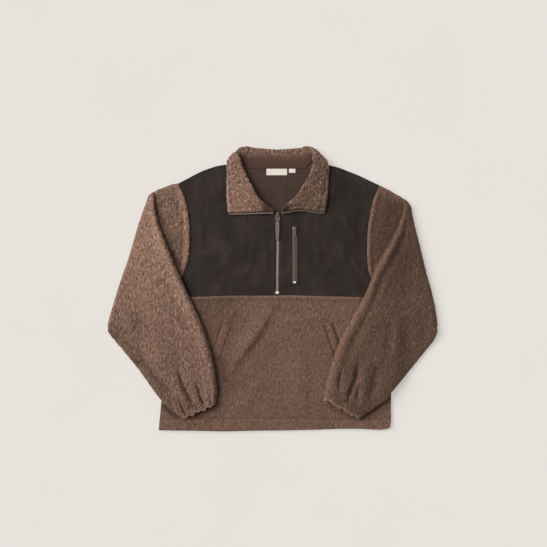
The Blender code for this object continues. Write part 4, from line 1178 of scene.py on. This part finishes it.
CUFF_OUT = {"left": (0.37, -0.93), "right": (-0.56, -0.83)}
for SIDE in ("left", "right"):
    look = SLEEVE_LOOK[SIDE]
    ctl = grid_of(lambda k, j: sleeve_point(SIDE, k, j), RING, LAST_ROW, ring=True)
    v = places(ctl, 2.0, rim=(0.5, 1.2, 2.2, 3.6))
    u = places(np.swapaxes(ctl, 0, 1), 1.9, ring=True)
    S = refine(ctl, v, u, ring=True)
    if SIDE == "right":
        far = np.exp(-(((S[..., 0] - 312.0) ** 2 + (S[..., 1] - 208.0) ** 2) / 34.0 ** 2))
        S[..., 0] += 3.0 * far
        S[..., 1] += 6.5 * far
    V, U = np.meshgrid(v, u, indexing="ij")
    # the cloth under the fold fills the shoulder's corner
    kx, ky = FOLD_LINE[SIDE][:2]
    corner = np.exp(-(((S[..., 0] - kx) ** 2 + (S[..., 1] - ky) ** 2) / 20.0 ** 2)) * smooth((6.0 - V) / 1.5)
    S[..., 0] += (-1.0 if SIDE == "left" else 1.0) * 2.5 * corner
    S[..., 1] += 6.0 * corner
    S = to_outline(SIDE, S)
    S = at_elbow(SIDE, S)
    across = np.where(U <= 9, U / 9.0, np.where(U <= 12, 1.0, np.where(U <= 21, 1 - (U - 12) / 9.0, 0.0)))
    upper = np.where(U < 9, 0.0, np.where(U < 12, smooth((U - 9) / 3.0),
                                          np.where(U <= 21, 1.0, 1.0 - smooth((U - 21) / 3.0))))
    over = smooth((V - 6.4) / 1.6)                      # 1 on the folded-over part
    x, y = S[..., 0], S[..., 1]
    # distance in from the inner edge, from the lower edge and on from the fold
    wide = np.interp(v, range(LAST_ROW + 1),
                     [max(60.0, math.hypot(ctl[j, 4, 0] - ctl[j, 0, 0], ctl[j, 4, 1] - ctl[j, 0, 1])
                          * 9.0 / 4.0) for j in range(LAST_ROW + 1)])[:, None]
    d_in, d_low = across * wide, (1.0 - across) * wide
    fx0, fy0, fx1, fy1 = FOLD_LINE[SIDE]
    fn = math.hypot(fx1 - fx0, fy1 - fy0)
    d_fold = np.abs((x - fx0) * (fy1 - fy0) - (y - fy0) * (fx1 - fx0)) / fn
    # the fold is pressed down, and the sleeve rises from it to its inner edge
    press = np.exp(-(d_fold / 62.0) ** 2) * smooth((V - 0.6) / 1.6)
    S[..., 2] = S[..., 2] * (1.0 - 0.27 * press)
    rise = (dome((d_in + 1.0) / 15.0) * (1.0 - 0.62 * smooth((d_in - 14.0) / 150.0))
            * dome((d_low + 2.0) / 34.0) * smooth((d_fold - 4.0) / 84.0))
    puff = look["high"] * rise
    puff = puff + 1.4 * dome((d_in + 1.0) / 12.0) * dome((d_low + 1.0) / 20.0) * (1.0 - smooth(d_fold / 90.0))
    along_edge = smooth((d_fold - 6.0) / 30.0) * smooth((16.2 - V) / 2.5)
    puff = puff - look["trough"] * np.exp(-((d_in - 27.0) / 11.0) ** 2) * along_edge
    puff = puff + look["roll"] * 0.8 * np.exp(-((d_in - 9.0) / 7.0) ** 2) * along_edge
    q = np.stack([x, y, np.zeros_like(x)], -1)
    puff = puff + 0.9 * billow(q, 58.0, look["salt"]) + 0.5 * billow(q, 27.0, look["salt"] + 1)
    puff = puff + creases(x, y, SLEEVE_CREASES[SIDE])
    # the elastic's casing: a sunk ring of stitches, then a full edge
    casing = np.exp(-((V - 16.36) / 0.055) ** 2)
    puff = puff - 0.9 * casing + 0.9 * np.exp(-((V - 16.72) / 0.16) ** 2)
    S[..., 2] += np.maximum(puff, -1.0) * upper * over
    for place, half, depth in UNDER_GATHERS:
        S[..., 2] += (depth * np.exp(-((across - place) / half) ** 2) * (1 - upper) * over
                      * smooth((V - 15.2) / 1.4) * 0.45)
    # scalloped end
    ex, ey = CUFF_OUT[SIDE]
    lobes = (np.sin(across * 31.0 + look["salt"]) * 1.7 + np.sin(across * 17.0 + 2.0) * 1.4
             + (np.sin(across * 47.0 + 1.0) * 0.9 if SIDE == "right" else 0.0)
             - 1.2) * smooth((V - 16.3) / 0.7) * (1.0 if SIDE == "left" else 0.72)
    S[..., 0] += ex * lobes
    S[..., 1] += ey * lobes
    # the cap beside the armhole seam, where the folded part leaves it open
    cap = (1.0 - covered(SIDE, x, y, 10.0)) * (1.0 - over) * np.where(U <= 9, smooth(U / 0.8), 0.0)
    d_seam = np.linalg.norm(S[..., :2] - S[:1, :, :2], axis=-1)
    ridge_ = 2.8 * np.exp(-((d_seam - 5.0) / 4.6) ** 2) - 1.6 * np.exp(-((d_seam - 18.0) / 8.0) ** 2)
    pucker = billow(np.stack([x * 0.3, y, np.zeros_like(x)], -1), 9.0, look["salt"] + 9)
    ridge_ = ridge_ + 0.7 * pucker * np.exp(-((d_seam - 6.0) / 6.0) ** 2)
    S[..., 2] += cap * (ridge_ + 1.6 * smooth(d_seam / 26.0) * dome(d_in / 20.0)
                        + 0.7 * billow(q, 22.0, look["salt"] + 4))
    z_top = S[..., 2]
    S[..., 2] = np.where(z_top > 24.6, 24.6 + (z_top - 24.6) * 0.35, z_top)
    shows = np.clip(upper * over + cap, 0.0, 1.0)
    edge_soft = np.where((U > 8.5) & (U < 12.5) | (U > 20.5), 0.6, 0.0) * (1.0 - shows)
    curl = pile(S, look["salt"] + 7, 1.12)
    strong = 1.45 if SIDE == "left" else 0.9
    nap = curl * (0.16 + 0.86 * strong * np.maximum(shows, edge_soft * over))
    onto = upper * over
    # the pile darker where it sinks between its clumps, lighter on their crowns: painted shade
    tone = 1.0 + (0.25 if SIDE == "left" else 0.18) * curl
    # painted shade in the creases' troughs and painted highlight on their ridges
    tone = tone + 0.06 * creases(x, y, SLEEVE_CREASES[SIDE]) * onto
    # painted highlight (pale) along each cuff's rim, strongest on the right cuff, which faces away from the key light
    rim = np.exp(-((V - (16.93 if SIDE == "left" else 16.95)) / (0.09 if SIDE == "left" else 0.11)) ** 2) * over
    pale = 0.30 + 0.40 * smooth((across - 0.5) / 0.3) if SIDE == "left" else (
        0.95 * (0.2 + 0.8 * smooth((across - 0.05) / 0.16)))
    # the rim's painted highlight, and painted shade in the elastic's sunk casing
    tone = tone + pale * rim - 0.20 * casing * onto
    if SIDE == "left":
        # left sleeve: painted light, lighter towards the shoulder, with a painted highlight along the inner edge and
        # painted shade along the lower edge
        tone = tone + onto * (0.0009 * np.clip(y + 60.0, -180.0, 200.0)
                              + 0.26 * np.exp(-((d_in - 12.0) / 20.0) ** 2)
                              - 0.20 * np.exp(-(d_low / 30.0) ** 2))
        lean = onto[..., None] * np.array([-0.16, 0.04, 0.0]) * smooth((y + 170.0) / 240.0)[..., None]
        # left cap: painted highlight on the seam's ridge and the folded sleeve's painted shadow along its inner edge
        tone = tone + cap * (0.08 + 0.18 * np.exp(-((d_seam - 6.0) / 7.0) ** 2) + 0.14 * curl
                             - 0.72 * np.exp(-((x - inner_edge(SIDE, y) - 2.0) / 14.0) ** 2))
        lean = lean + (cap * 0.16 * smooth((d_seam - 12.0) / 20.0))[..., None] * np.array([1.0, 0.0, 0.0])
    else:
        # right sleeve: painted highlight on the rolled inner edge, painted shade in the trough beside it, and painted
        # shade growing towards the shoulder
        tone = tone + onto * (0.16 * np.exp(-((d_in - 8.0) / 8.0) ** 2)
                              - 0.16 * np.exp(-((d_in - 28.0) / 13.0) ** 2) * along_edge
                              - 0.04 - 0.20 * smooth((y + 60.0) / 150.0))
        lean = onto[..., None] * np.array([0.30, -0.08, 0.0])
        lean = lean * (1.0 - 0.7 * np.exp(-((d_in - 6.0) / 9.0) ** 2))[..., None]
        # right cap: painted shade over it, with a painted highlight on the seam's ridge
        tone = tone + cap * (-0.36 + 0.56 * np.exp(-((d_seam - 5.0) / 5.0) ** 2))
        lean = lean + (cap * 0.26 * smooth((d_seam - 8.0) / 12.0))[..., None] * np.array([1.0, -0.2, 0.0])
    tone = np.clip(tone, 0.35, 2.1)
    up_face = (normals_of(S, True)[..., 2] * onto).sum()
    o = shell("sleeve_" + SIDE + "_fleece", S, PILE_WALL,
              [FLEECE_LEFT_PAINTED_LIT if SIDE == "left" else FLEECE_RIGHT, REVERSE],
              side=1.0 if up_face > 0 else -1.0, ring=True, nap=nap, rounding=3.6, floor=0.02,
              tone=tone, lean=lean,
              pick=lambda o, i, a, b, c: np.repeat([0, 1, 0], [a, b, c]))
    declare(o, "sleeve_" + SIDE)

    # the seam allowance inside the armhole seam
    arm = np.array(ARMHOLE[SIDE][:9], float)
    seam = cubic(arm, np.linspace(0.0, 8.0, 121))
    across_seam = np.gradient(seam, axis=0)[:, ::-1] * np.array([1.0, -1.0])
    across_seam /= np.linalg.norm(across_seam, axis=1, keepdims=True)
    off = np.linspace(-3.2, 3.2, 5)[None, :, None]
    flat_ = seam[:, None] + across_seam[:, None] * off
    g = np.concatenate([flat_, np.full(flat_.shape[:2] + (1,), 3.75)], axis=-1)
    o = shell("armhole_seam_" + SIDE, g, 0.9, [REVERSE],
              side=1.0 if normals_of(g, False)[..., 2].mean() > 0 else -1.0, rounding=0.6)
    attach(o, "garment")

# ---------------------------------------------------------------- collar
STAND_CELLS, ROLL_CELLS, FALL_CELLS = 2, 4, 4
COLLAR_CELLS = STAND_CELLS + ROLL_CELLS + FALL_CELLS
COLLAR_STATIONS = 26


def collar_row(t):
    last = len(COLLAR_ROWS) - 1
    at = (1.0 - abs(t)) * last
    row = list(cubic(np.array(COLLAR_ROWS), [at])[0])
    if t > 0.0:
        d = cubic(np.array(COLLAR_RIGHT), [at])[0]
        for n in (0, 3, 6):
            row[n] = -row[n]
        row[3] += d[0]
        row[4] += d[1]
        row[6] += d[2]
        row[7] += d[3]
    return row


def collar_point(t, c):
    sx_, sy_, sz_, rx, ry, rz, ex, ey, ez, turn, radius = collar_row(t)
    seam, roll, edge = Vector((sx_, sy_, sz_)), Vector((rx, ry, rz)), Vector((ex, ey, ez))
    a = Vector((rx - sx_, ry - sy_, 0.0)).normalized()
    outward = Vector((-a.y, a.x, 0.0)) if t <= 0.0 else Vector((a.y, -a.x, 0.0))
    phi = math.radians(turn)
    w = Vector((0, 0, 1)) * math.cos(phi) + outward * math.sin(phi)
    centre = roll - a * radius
    if c <= STAND_CELLS:
        return tuple(seam.lerp(centre - w * radius, c / float(STAND_CELLS)))
    if c <= STAND_CELLS + ROLL_CELLS:
        ang = math.pi * (c - STAND_CELLS) / float(ROLL_CELLS)
        return tuple(centre - w * radius * math.cos(ang) + a * radius * math.sin(ang))
    return tuple((centre + w * radius).lerp(edge, (c - STAND_CELLS - ROLL_CELLS) / float(FALL_CELLS)))


def wave(x):
    """The right wing's front edge waves up between its roll and its point."""
    return 6.2 * np.exp(-((x - 56.0) / 27.0) ** 2)


ctl = grid_of(lambda i, c: collar_point(-1.0 + 2.0 * i / COLLAR_STATIONS, c),
              COLLAR_STATIONS, COLLAR_CELLS)
cv = places(ctl, 1.35, rim=(0.5, 1.1, 2.0, 3.2))
cu = places(np.swapaxes(ctl, 0, 1), 1.6, rim=(0.5, 1.1, 2.0, 3.2))
C = refine(ctl, cv, cu)
CC, TT = np.meshgrid(cv, -1.0 + 2.0 * cu / COLLAR_STATIONS, indexing="ij")
fall = smooth((CC - 4.0) / 1.6)
wing = smooth((np.abs(TT) - 0.42) / 0.16)
C[..., 1] += wave(C[..., 0]) * np.exp(-((1.0 - TT) / 0.14) ** 2) * smooth((CC - 3.0) / 2.0)
across_fall = np.clip((CC - 4.0) / 6.0, 0.0, 1.0)
# How far each station's roll stands out from the zip's side, in the order of COLLAR_ROWS
ROLL_OUT = {"left": (1.5, 6.0, 7.2, 7.5, 7.0, 5.0, 3.6, 2.0, 0.0, 0.0, 0.0, 0.0, 0.0, 0.0),
            "right": (1.5, 7.0, 9.0, 8.8, 7.4, 3.4, -1.2, -4.2, -5.8, -5.4, -3.2, -1.0, 0.0, 0.0)}
station = (1.0 - np.abs(TT)) * (len(COLLAR_ROWS) - 1)
share_out = 1.0 - np.clip((CC - 6.0) / 4.0, 0.0, 1.0)
C[..., 0] += share_out * np.where(TT < 0.0, -cubic(np.array(ROLL_OUT["left"]), station.ravel()).reshape(CC.shape),
                                  cubic(np.array(ROLL_OUT["right"]), station.ravel()).reshape(CC.shape))
# both corners are round and a little lower than the solid's
C[..., 1] -= 3.6 * smooth((C[..., 1] - 312.0) / 22.0)
round_left = np.exp(-((C[..., 0] + 105.0) ** 2 + (C[..., 1] - 321.0) ** 2) / 12.5 ** 2)
C[..., 0] -= 3.4 * round_left
C[..., 1] += 2.2 * round_left
C[..., 1] += 3.6 * np.exp(-((C[..., 0] - 92.0) ** 2 + (C[..., 1] - 330.0) ** 2) / 10.0 ** 2)
C[..., 0] -= 2.6 * np.exp(-((C[..., 1] - 299.0) / 9.0) ** 2) * smooth((-106.0 - C[..., 0]) / 10.0)
C[..., 0] -= 5.6 * np.exp(-((C[..., 1] - 311.0) / 11.0) ** 2) * smooth((C[..., 0] - 96.0) / 20.0)
side_in = dome((1.0 - np.abs(TT)) / 0.10)
swell_c = 4.4 * dome(across_fall / 0.26) * dome((1.0 - across_fall) / 0.3) * side_in * wing * fall
p = C.copy()
swell_c = swell_c + wing * fall * (0.9 * billow(p, 30.0, 101) + 0.5 * billow(p, 15.0, 102))
swell_c = swell_c + 0.9 * wing * np.exp(-((CC - 9.72) / 0.16) ** 2)          # the turned edge
swell_c = swell_c - 0.8 * wing * np.exp(-((CC - 9.40) / 0.10) ** 2)
swell_c = swell_c - 0.9 * np.exp(-((1.0 - np.abs(TT) - 0.036) / 0.010) ** 2) * fall * wing
n0 = normals_of(C, False)
mid_roll = int(np.argmin(np.abs(cv - 4.0)))
wing_col = int(np.argmin(np.abs(TT[0] + 0.8)))
sign = 1.0 if n0[int(np.argmin(np.abs(cv - 8.0))), wing_col, 2] > 0 else -1.0
back_zone = 1.0 - wing
plain = smooth((1.9 - CC + 0.25 * billow(C, 22.0, 140)) / 1.1) * back_zone   # the stand's smooth foot
# the wings' inner ends turn down into the neck: the pile is made smooth there and darkened, painted shade
inner_end = np.where(C[..., 0] < 0.0, smooth((C[..., 0] + 47.0) / 18.0),
                     smooth((33.0 - C[..., 0]) / 13.0)) * smooth((214.0 - C[..., 1]) / 9.0) * wing
curl = pile(C * np.array([1.35, 0.95, 1.0]), 131, 1.0)
nap = curl * 1.75 * (1.0 - 0.85 * plain) * (1.0 - 0.6 * inner_end)
# the pile darker where it sinks between its clumps, less so on the smooth foot: painted shade
tone = 1.0 + 0.46 * curl * (1.0 - 0.8 * plain)
# painted highlight on the wings' turned edge and painted shade in the groove inside it
tone = tone + wing * fall * (0.22 * np.exp(-((CC - 9.82) / 0.12) ** 2) - 0.20 * np.exp(-((CC - 9.40) / 0.12) ** 2))
# the left wing a touch lighter and the right wing darker, painted light and painted shade from the key light at the
# left; the back a touch darker
tone = tone + wing * (0.04 * (TT < 0) - 0.18 * (TT > 0)) * fall - 0.08 * back_zone
# painted shade on the wings' inner ends and at the foot of the stand
tone = tone * (1.0 - 0.56 * inner_end) * (1.0 - 0.16 * smooth((1.3 - CC) / 1.3) * back_zone)
# the inner ends also take the smooth foot's darker colour, as part of their painted shade
plain = np.maximum(plain, 0.8 * inner_end)
lean = (wing * fall)[..., None] * np.where(TT < 0, -0.14, 0.26)[..., None] * np.array([1.0, 0.0, 0.0])
skin = np.maximum(swell_c, -0.9) + 1.1 * back_zone * np.exp(-((CC - 3.2) / 1.4) ** 2)


collar = shell("collar_fleece", C, COLLAR_WALL, [FLEECE_COLLAR], side=sign, nap=nap,
               skin=skin, rounding=3.8, floor=0.02, tone=tone, lean=lean, plain=plain)
declare(collar, "collar")


# ---------------------------------------------------------------- strips on the panels
def strip(name, start, stop, width, height, wall, mats, step=1.2, nap=0.0, salt=1, rounding=0.7,
          crown=0.0, bow=None):
    """Strip from start to stop whose underside stands on height(x, y)."""
    dx, dy = stop[0] - start[0], stop[1] - start[1]
    n = math.hypot(dx, dy)
    ex, ey = dx / n, dy / n
    a = marks(n, step, (0.3, 0.8))
    b = marks(width, step, (0.3, 0.8)) - width / 2.0
    A, Bq = np.meshgrid(a, b, indexing="ij")
    x = start[0] + ex * A - ey * Bq
    y = start[1] + ey * A + ex * Bq
    if bow is not None:
        x = x + bow(y)
    z = height(x, y) + wall / 2.0 + crown * (1.0 - (2.0 * Bq / width) ** 2)
    g = np.stack([x, y, z], -1)
    side = 1.0 if normals_of(g, False)[..., 2].mean() > 0 else -1.0
    bits = pile(g, salt) * nap if nap else None
    # the pile's tone is darker where it sinks between its clumps: painted shade
    return shell(name, g, wall, mats, side=side, nap=bits, rounding=rounding,
                 tone=None if bits is None else 1.0 + 0.2 * bits)


for SIDE in ("left", "right"):
    X0, Y0, X1, Y1, WIDE = WELTS[SIDE]
    WN = math.hypot(X1 - X0, Y1 - Y0)

    def welt_foot(x, y):
        run = ((x - X0) * (X1 - X0) + (y - Y0) * (Y1 - Y0)) / WN
        return front_skin(x, y) - 1.1 - 1.5 * (1.0 - smooth(np.minimum(run, WN - run) / 12.0))

    o = strip("welt_" + SIDE + "_fleece", (X0, Y0), (X1, Y1), WIDE - 1.0, welt_foot, 1.4,
              [FLEECE_BODY], step=1.7, nap=0.7, salt=151, rounding=3.4, crown=0.3)
    declare(o, "pocket_welt_" + SIDE)


def zip_bow(y):
    """The half zip isn't quite straight: it leans a little right, then left, on its way down."""
    return 0.9 * np.exp(-((y - 106.0) / 30.0) ** 2) - 0.7 * smooth((70.0 - y) / 60.0)


o = strip("main_zip_tape_woven", (0.0, 178.0), (0.0, -12.0), 22.0,
          lambda x, y: yoke_top(x, y) - SHELL_WALL - 1.35, 0.8, [TAPE], step=2.0)
declare(o, "main_zip_tape")
line = [(float(zip_bow(np.array(yy))), yy, float(yoke_top(0.0, yy)) - 0.55)
        for yy in np.linspace(175.6, -4.6, 90)]
places_, ahead = along_line(line, 1.42)
teeth_c, teeth_a, teeth_u = [], [], []
for hand in (-1.0, 1.0):
    shift = np.array([hand * 1.35, 0.0, 0.0])
    teeth_c.append(places_ + shift + ahead / np.linalg.norm(ahead, axis=1, keepdims=True) * hand * 0.35)
    teeth_a.append(np.tile([1.0, 0.12 * hand, 0.0], (len(places_), 1)))
    teeth_u.append(np.tile([0.0, 0.0, 1.0], (len(places_), 1)))
o = beads("main_zip_coil_teeth", np.concatenate(teeth_c), np.concatenate(teeth_a),
          np.concatenate(teeth_u), (1.95, 0.56, 0.85), [COIL])
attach(o, "garment")
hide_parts("main_zip_coil")

o = strip("chest_zip_tape_woven", (41.0, 151.5), (41.0, 16.4), 10.6,
          lambda x, y: yoke_top(x, y) + 0.62, 0.7, [TAPE], step=1.4)
declare(o, "chest_zip_tape")
line = [(41.0, yy, float(yoke_top(41.0, yy)) + 1.62) for yy in np.linspace(141.4, 20.8, 80)]
places_, ahead = along_line(line, 1.42)
cc = np.concatenate([places_ + (h * 1.0, h * 0.35, 0.0) for h in (-1.0, 1.0)])
aa = np.concatenate([np.tile([1.0, 0.12 * h, 0.0], (len(places_), 1)) for h in (-1.0, 1.0)])
o = beads("chest_zip_coil_teeth", cc, aa, np.tile([0.0, 0.0, 1.0], (len(cc), 1)),
          (1.45, 0.5, 0.55), [COIL_DARK])
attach(o, "garment")


# zip halves along the wings' front edges: a narrow tape and a row of coil on it
def wing_edge(sgn, drop, gap):
    """Line beside the wing's front edge, from its roll to its point."""
    col = 0 if sgn < 0 else C.shape[1] - 1
    keep = (cv > 6.1) & (cv < 9.9)
    pts = C[keep, col].copy()
    pts[:, 1] -= gap
    pts[:, 2] -= drop
    return pts


for SIDE, SGN in (("left", -1.0), ("right", 1.0)):
    e0 = wing_edge(SGN, 0.4, 0.9)
    e1 = e0 + np.array([0.0, -4.2, -0.9])
    n_long = marks(1.0, 1.0 / 60.0, ())
    run = np.linspace(0.0, 1.0, len(e0))
    top_line = np.stack([np.interp(n_long, run, e0[:, k]) for k in range(3)], -1)
    low_line = np.stack([np.interp(n_long, run, e1[:, k]) for k in range(3)], -1)
    f = np.linspace(0.0, 1.0, 5)[None, :, None]
    g = top_line[:, None] * (1 - f) + low_line[:, None] * f
    s_ = 1.0 if normals_of(g, False)[..., 2].mean() > 0 else -1.0
    o = shell("collar_zip_" + SIDE + "_tape", g, 0.9, [TAPE], side=s_, rounding=0.6)
    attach(o, "garment")
    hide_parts("collar_zip_" + SIDE)
    line = top_line * 0.3 + low_line * 0.7 + np.array([0.0, 0.0, 0.8])
    at, ahead = along_line(line, 1.42)
    # The collar zip's left half gets the lighter coil colour and the right half the darker one: painted light and
    # painted shade from the key light at the left.
    o = beads("collar_zip_" + SIDE + "_coil", at, np.tile([0.06, 1.0, -0.2], (len(at), 1)),
              np.tile([0.0, 0.0, 1.0], (len(at), 1)), (1.35, 0.54, 0.62),
              [COIL_PAINTED_LIT_SIDE if SIDE == "left" else COIL_DARK])
    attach(o, "garment")

# ---------------------------------------------------------------- labels
inside = lambda x, y: PILE_WALL + neck_lift(x, y) + 0.3
o = strip("neck_label_bare", (-1.9, 291.0), (-1.9, 275.5), 49.4, inside, 0.8, [LABEL_CLOTH],
          step=0.9, crown=0.25)
declare(o, "neck_label")
o = strip("size_tab_bare", (35.2, 291.0), (35.2, 281.3), 15.6, inside, 0.8, [LABEL_CLOTH],
          step=0.8, crown=0.2)
declare(o, "size_tab")
at = np.array([(xx, 289.6, float(inside(np.array(xx), np.array(289.6))) + 0.98)
               for xx in np.arange(-25.0, 22.0, 3.1)])
o = beads("label_stitches", at, np.tile([1.0, 0.0, 0.0], (len(at), 1)),
          np.tile([0.0, 0.0, 1.0], (len(at), 1)), (1.15, 0.3, 0.22), [LABEL_CLOTH])
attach(o, "garment")


# ---------------------------------------------------------------- topstitching
def stitch_row(points, skin_of, pitch, size, lift=0.05):
    pts = np.array([(a, b + float(seam_sag(np.array(a), np.array(b))),
                     float(skin_of(np.array(a), np.array(b))) + lift) for a, b in points])
    at, ahead = along_line(pts, pitch)
    return at, ahead


rows = []
for lo, hi in ((-250.0, -6.0), (6.0, 246.0)):
    rows.append(stitch_row([(xx, YOKE_SEAM_Y + 12.0) for xx in np.linspace(lo, hi, 140)],
                           yoke_skin, 3.6, None))
for xx in (-10.5, 10.5):
    rows.append(stitch_row([(xx, yy) for yy in np.linspace(-12.0, 170.0, 90)], yoke_skin, 3.4, None))
for xx in (31.5, 50.5):
    rows.append(stitch_row([(xx, yy) for yy in np.linspace(11.0, 156.0, 80)], yoke_skin, 3.4, None))
for yy in (11.0, 156.0):
    rows.append(stitch_row([(xx, yy) for xx in np.linspace(31.5, 50.5, 12)], yoke_skin, 3.4, None))
at, ahead = np.concatenate([r[0] for r in rows]), np.concatenate([r[1] for r in rows])
o = beads("yoke_stitches", at, ahead, np.tile([0.0, 0.0, 1.0], (len(at), 1)), (1.3, 0.34, 0.24),
          [THREAD])
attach(o, "garment")

# ---------------------------------------------------------------- hard pieces
for name, finish in (("main_slider", METAL_DULL), ("main_pull_loop", METAL_DULL),
                     ("chest_slider", METAL), ("chest_pull", METAL),
                     ("main_zip_stop", METAL_PAINTED_SHINE), ("chest_zip_stop", CHEST_STOP)):
    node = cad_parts[name]
    node.data.materials.clear()
    node.data.materials.append(finish)

# The main pull's tab: a moulded strip that narrows downwards, with a sunk face and grip bars
lo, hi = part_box("main_pull_tab")
T0, T1 = hi.y * 1000.0 - 0.1, lo.y * 1000.0 + 0.1
Z0, Z1 = hi.z * 1000.0 - 1.3, lo.z * 1000.0 + 1.3
ts = np.concatenate([[0.0, 0.006, 0.02, 0.045], np.linspace(0.08, 0.93, 60), [0.96, 0.985, 0.996, 1.0]])
ring_pts = 28
verts = []
for t in ts:
    half_w = (4.7 - 0.95 * float(smooth(np.array((t - 0.3) / 0.6)))) * (
        0.55 + 0.45 * float(dome(np.array(min(t, 1.0 - t) / 0.05))))
    half_h = 1.2 * (0.4 + 0.6 * float(dome(np.array(min(t, 1.0 - t) / 0.04))))
    sunk = 0.42 * float(smooth(np.array((t - 0.14) / 0.05)) * smooth(np.array((0.92 - t) / 0.05)))
    bar = 0.22 * max(0.0, math.sin(t * 2 * math.pi * 17.0)) * float(smooth(np.array((t - 0.5) / 0.05))
                                                                  * smooth(np.array((0.9 - t) / 0.04)))
    for k in range(ring_pts):
        a = 2.0 * math.pi * k / ring_pts
        cx = math.copysign(abs(math.cos(a)) ** 0.45, math.cos(a)) * half_w
        cz = math.copysign(abs(math.sin(a)) ** 0.45, math.sin(a)) * half_h
        face = float(smooth(np.array((half_w * 0.74 - abs(cx)) / (half_w * 0.14))))
        cz -= math.copysign(1.0, cz) * (sunk - bar) * face
        verts.append((cx, lerp(T0, T1, t), lerp(Z0, Z1, t) + cz))
g = np.arange(len(ts) * ring_pts).reshape(len(ts), ring_pts)
gg = np.concatenate([g, g[:, :1]], axis=1)
quads = np.stack([gg[:-1, :-1], gg[1:, :-1], gg[1:, 1:], gg[:-1, 1:]], -1).reshape(-1, 4)
verts += [(0.0, T0, Z0), (0.0, T1, Z1)]
a0, a1 = len(verts) - 2, len(verts) - 1
tris = [(a0, gg[0, k], gg[0, k + 1]) for k in range(ring_pts)]
tris += [(a1, gg[-1, k + 1], gg[-1, k]) for k in range(ring_pts)]
o = mesh_of("main_pull_tab_moulded", verts, quads[:, ::-1], [t[::-1] for t in tris], [TAB])
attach(o, "main_pull")
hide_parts("main_pull_tab")

# ---------------------------------------------------------------- floor, light, camera
floor_mesh = bpy.data.meshes.new("floor")
floor_mesh.from_pydata([(-6, -6, -0.0002), (6, -6, -0.0002), (6, 6, -0.0002), (-6, 6, -0.0002)],
                       [], [(0, 1, 2, 3)])
floor = bpy.data.objects.new("floor", floor_mesh)
bpy.context.scene.collection.objects.link(floor)
# The card glows a little, as paper does on a light table, so the shadows on it stay pale
w = Look("floor_card", 0.95, spec=0.03)
col = w.ramp(w.noise(3.0, 2.0), ((0.3, (0.338, 0.325, 0.310, 1.0)), (0.7, (0.348, 0.336, 0.321, 1.0))))
w.p.inputs["Emission Color"].default_value = (0.425, 0.408, 0.382, 1.0)
w.p.inputs["Emission Strength"].default_value = 1.0
floor_mesh.materials.append(w.colour(col))

sun_data = bpy.data.lights.new("key", "SUN")
sun_data.energy = 3.9
sun_data.angle = math.radians(46.0)
sun_data.color = (1.0, 0.985, 0.965)
sun = bpy.data.objects.new("key", sun_data)
bpy.context.scene.collection.objects.link(sun)
KEY_FROM = Vector((-1.0, 0.42, 0.86))
sun.rotation_mode = "QUATERNION"
sun.rotation_quaternion = (-KEY_FROM).to_track_quat("-Z", "Y")

world = bpy.data.worlds.new("studio")
bpy.context.scene.world = world
world.use_nodes = True
world.node_tree.nodes["Background"].inputs["Color"].default_value = (1.0, 0.985, 0.97, 1.0)
world.node_tree.nodes["Background"].inputs["Strength"].default_value = 0.32

cam_data = bpy.data.cameras.new("camera")
cam = bpy.data.objects.new("camera", cam_data)
bpy.context.scene.collection.objects.link(cam)
CAM_HIGH = 3.1
cam.location = (-0.0096, 0.0396, CAM_HIGH)
cam_data.sensor_width = 36.0
cam_data.lens = 36.0 * (CAM_HIGH - 0.008) / 1.3128
cam_data.clip_end = 50.0
bpy.context.scene.camera = cam
bpy.context.scene.view_settings.view_transform = "Standard"
bpy.context.scene.view_settings.look = "None"
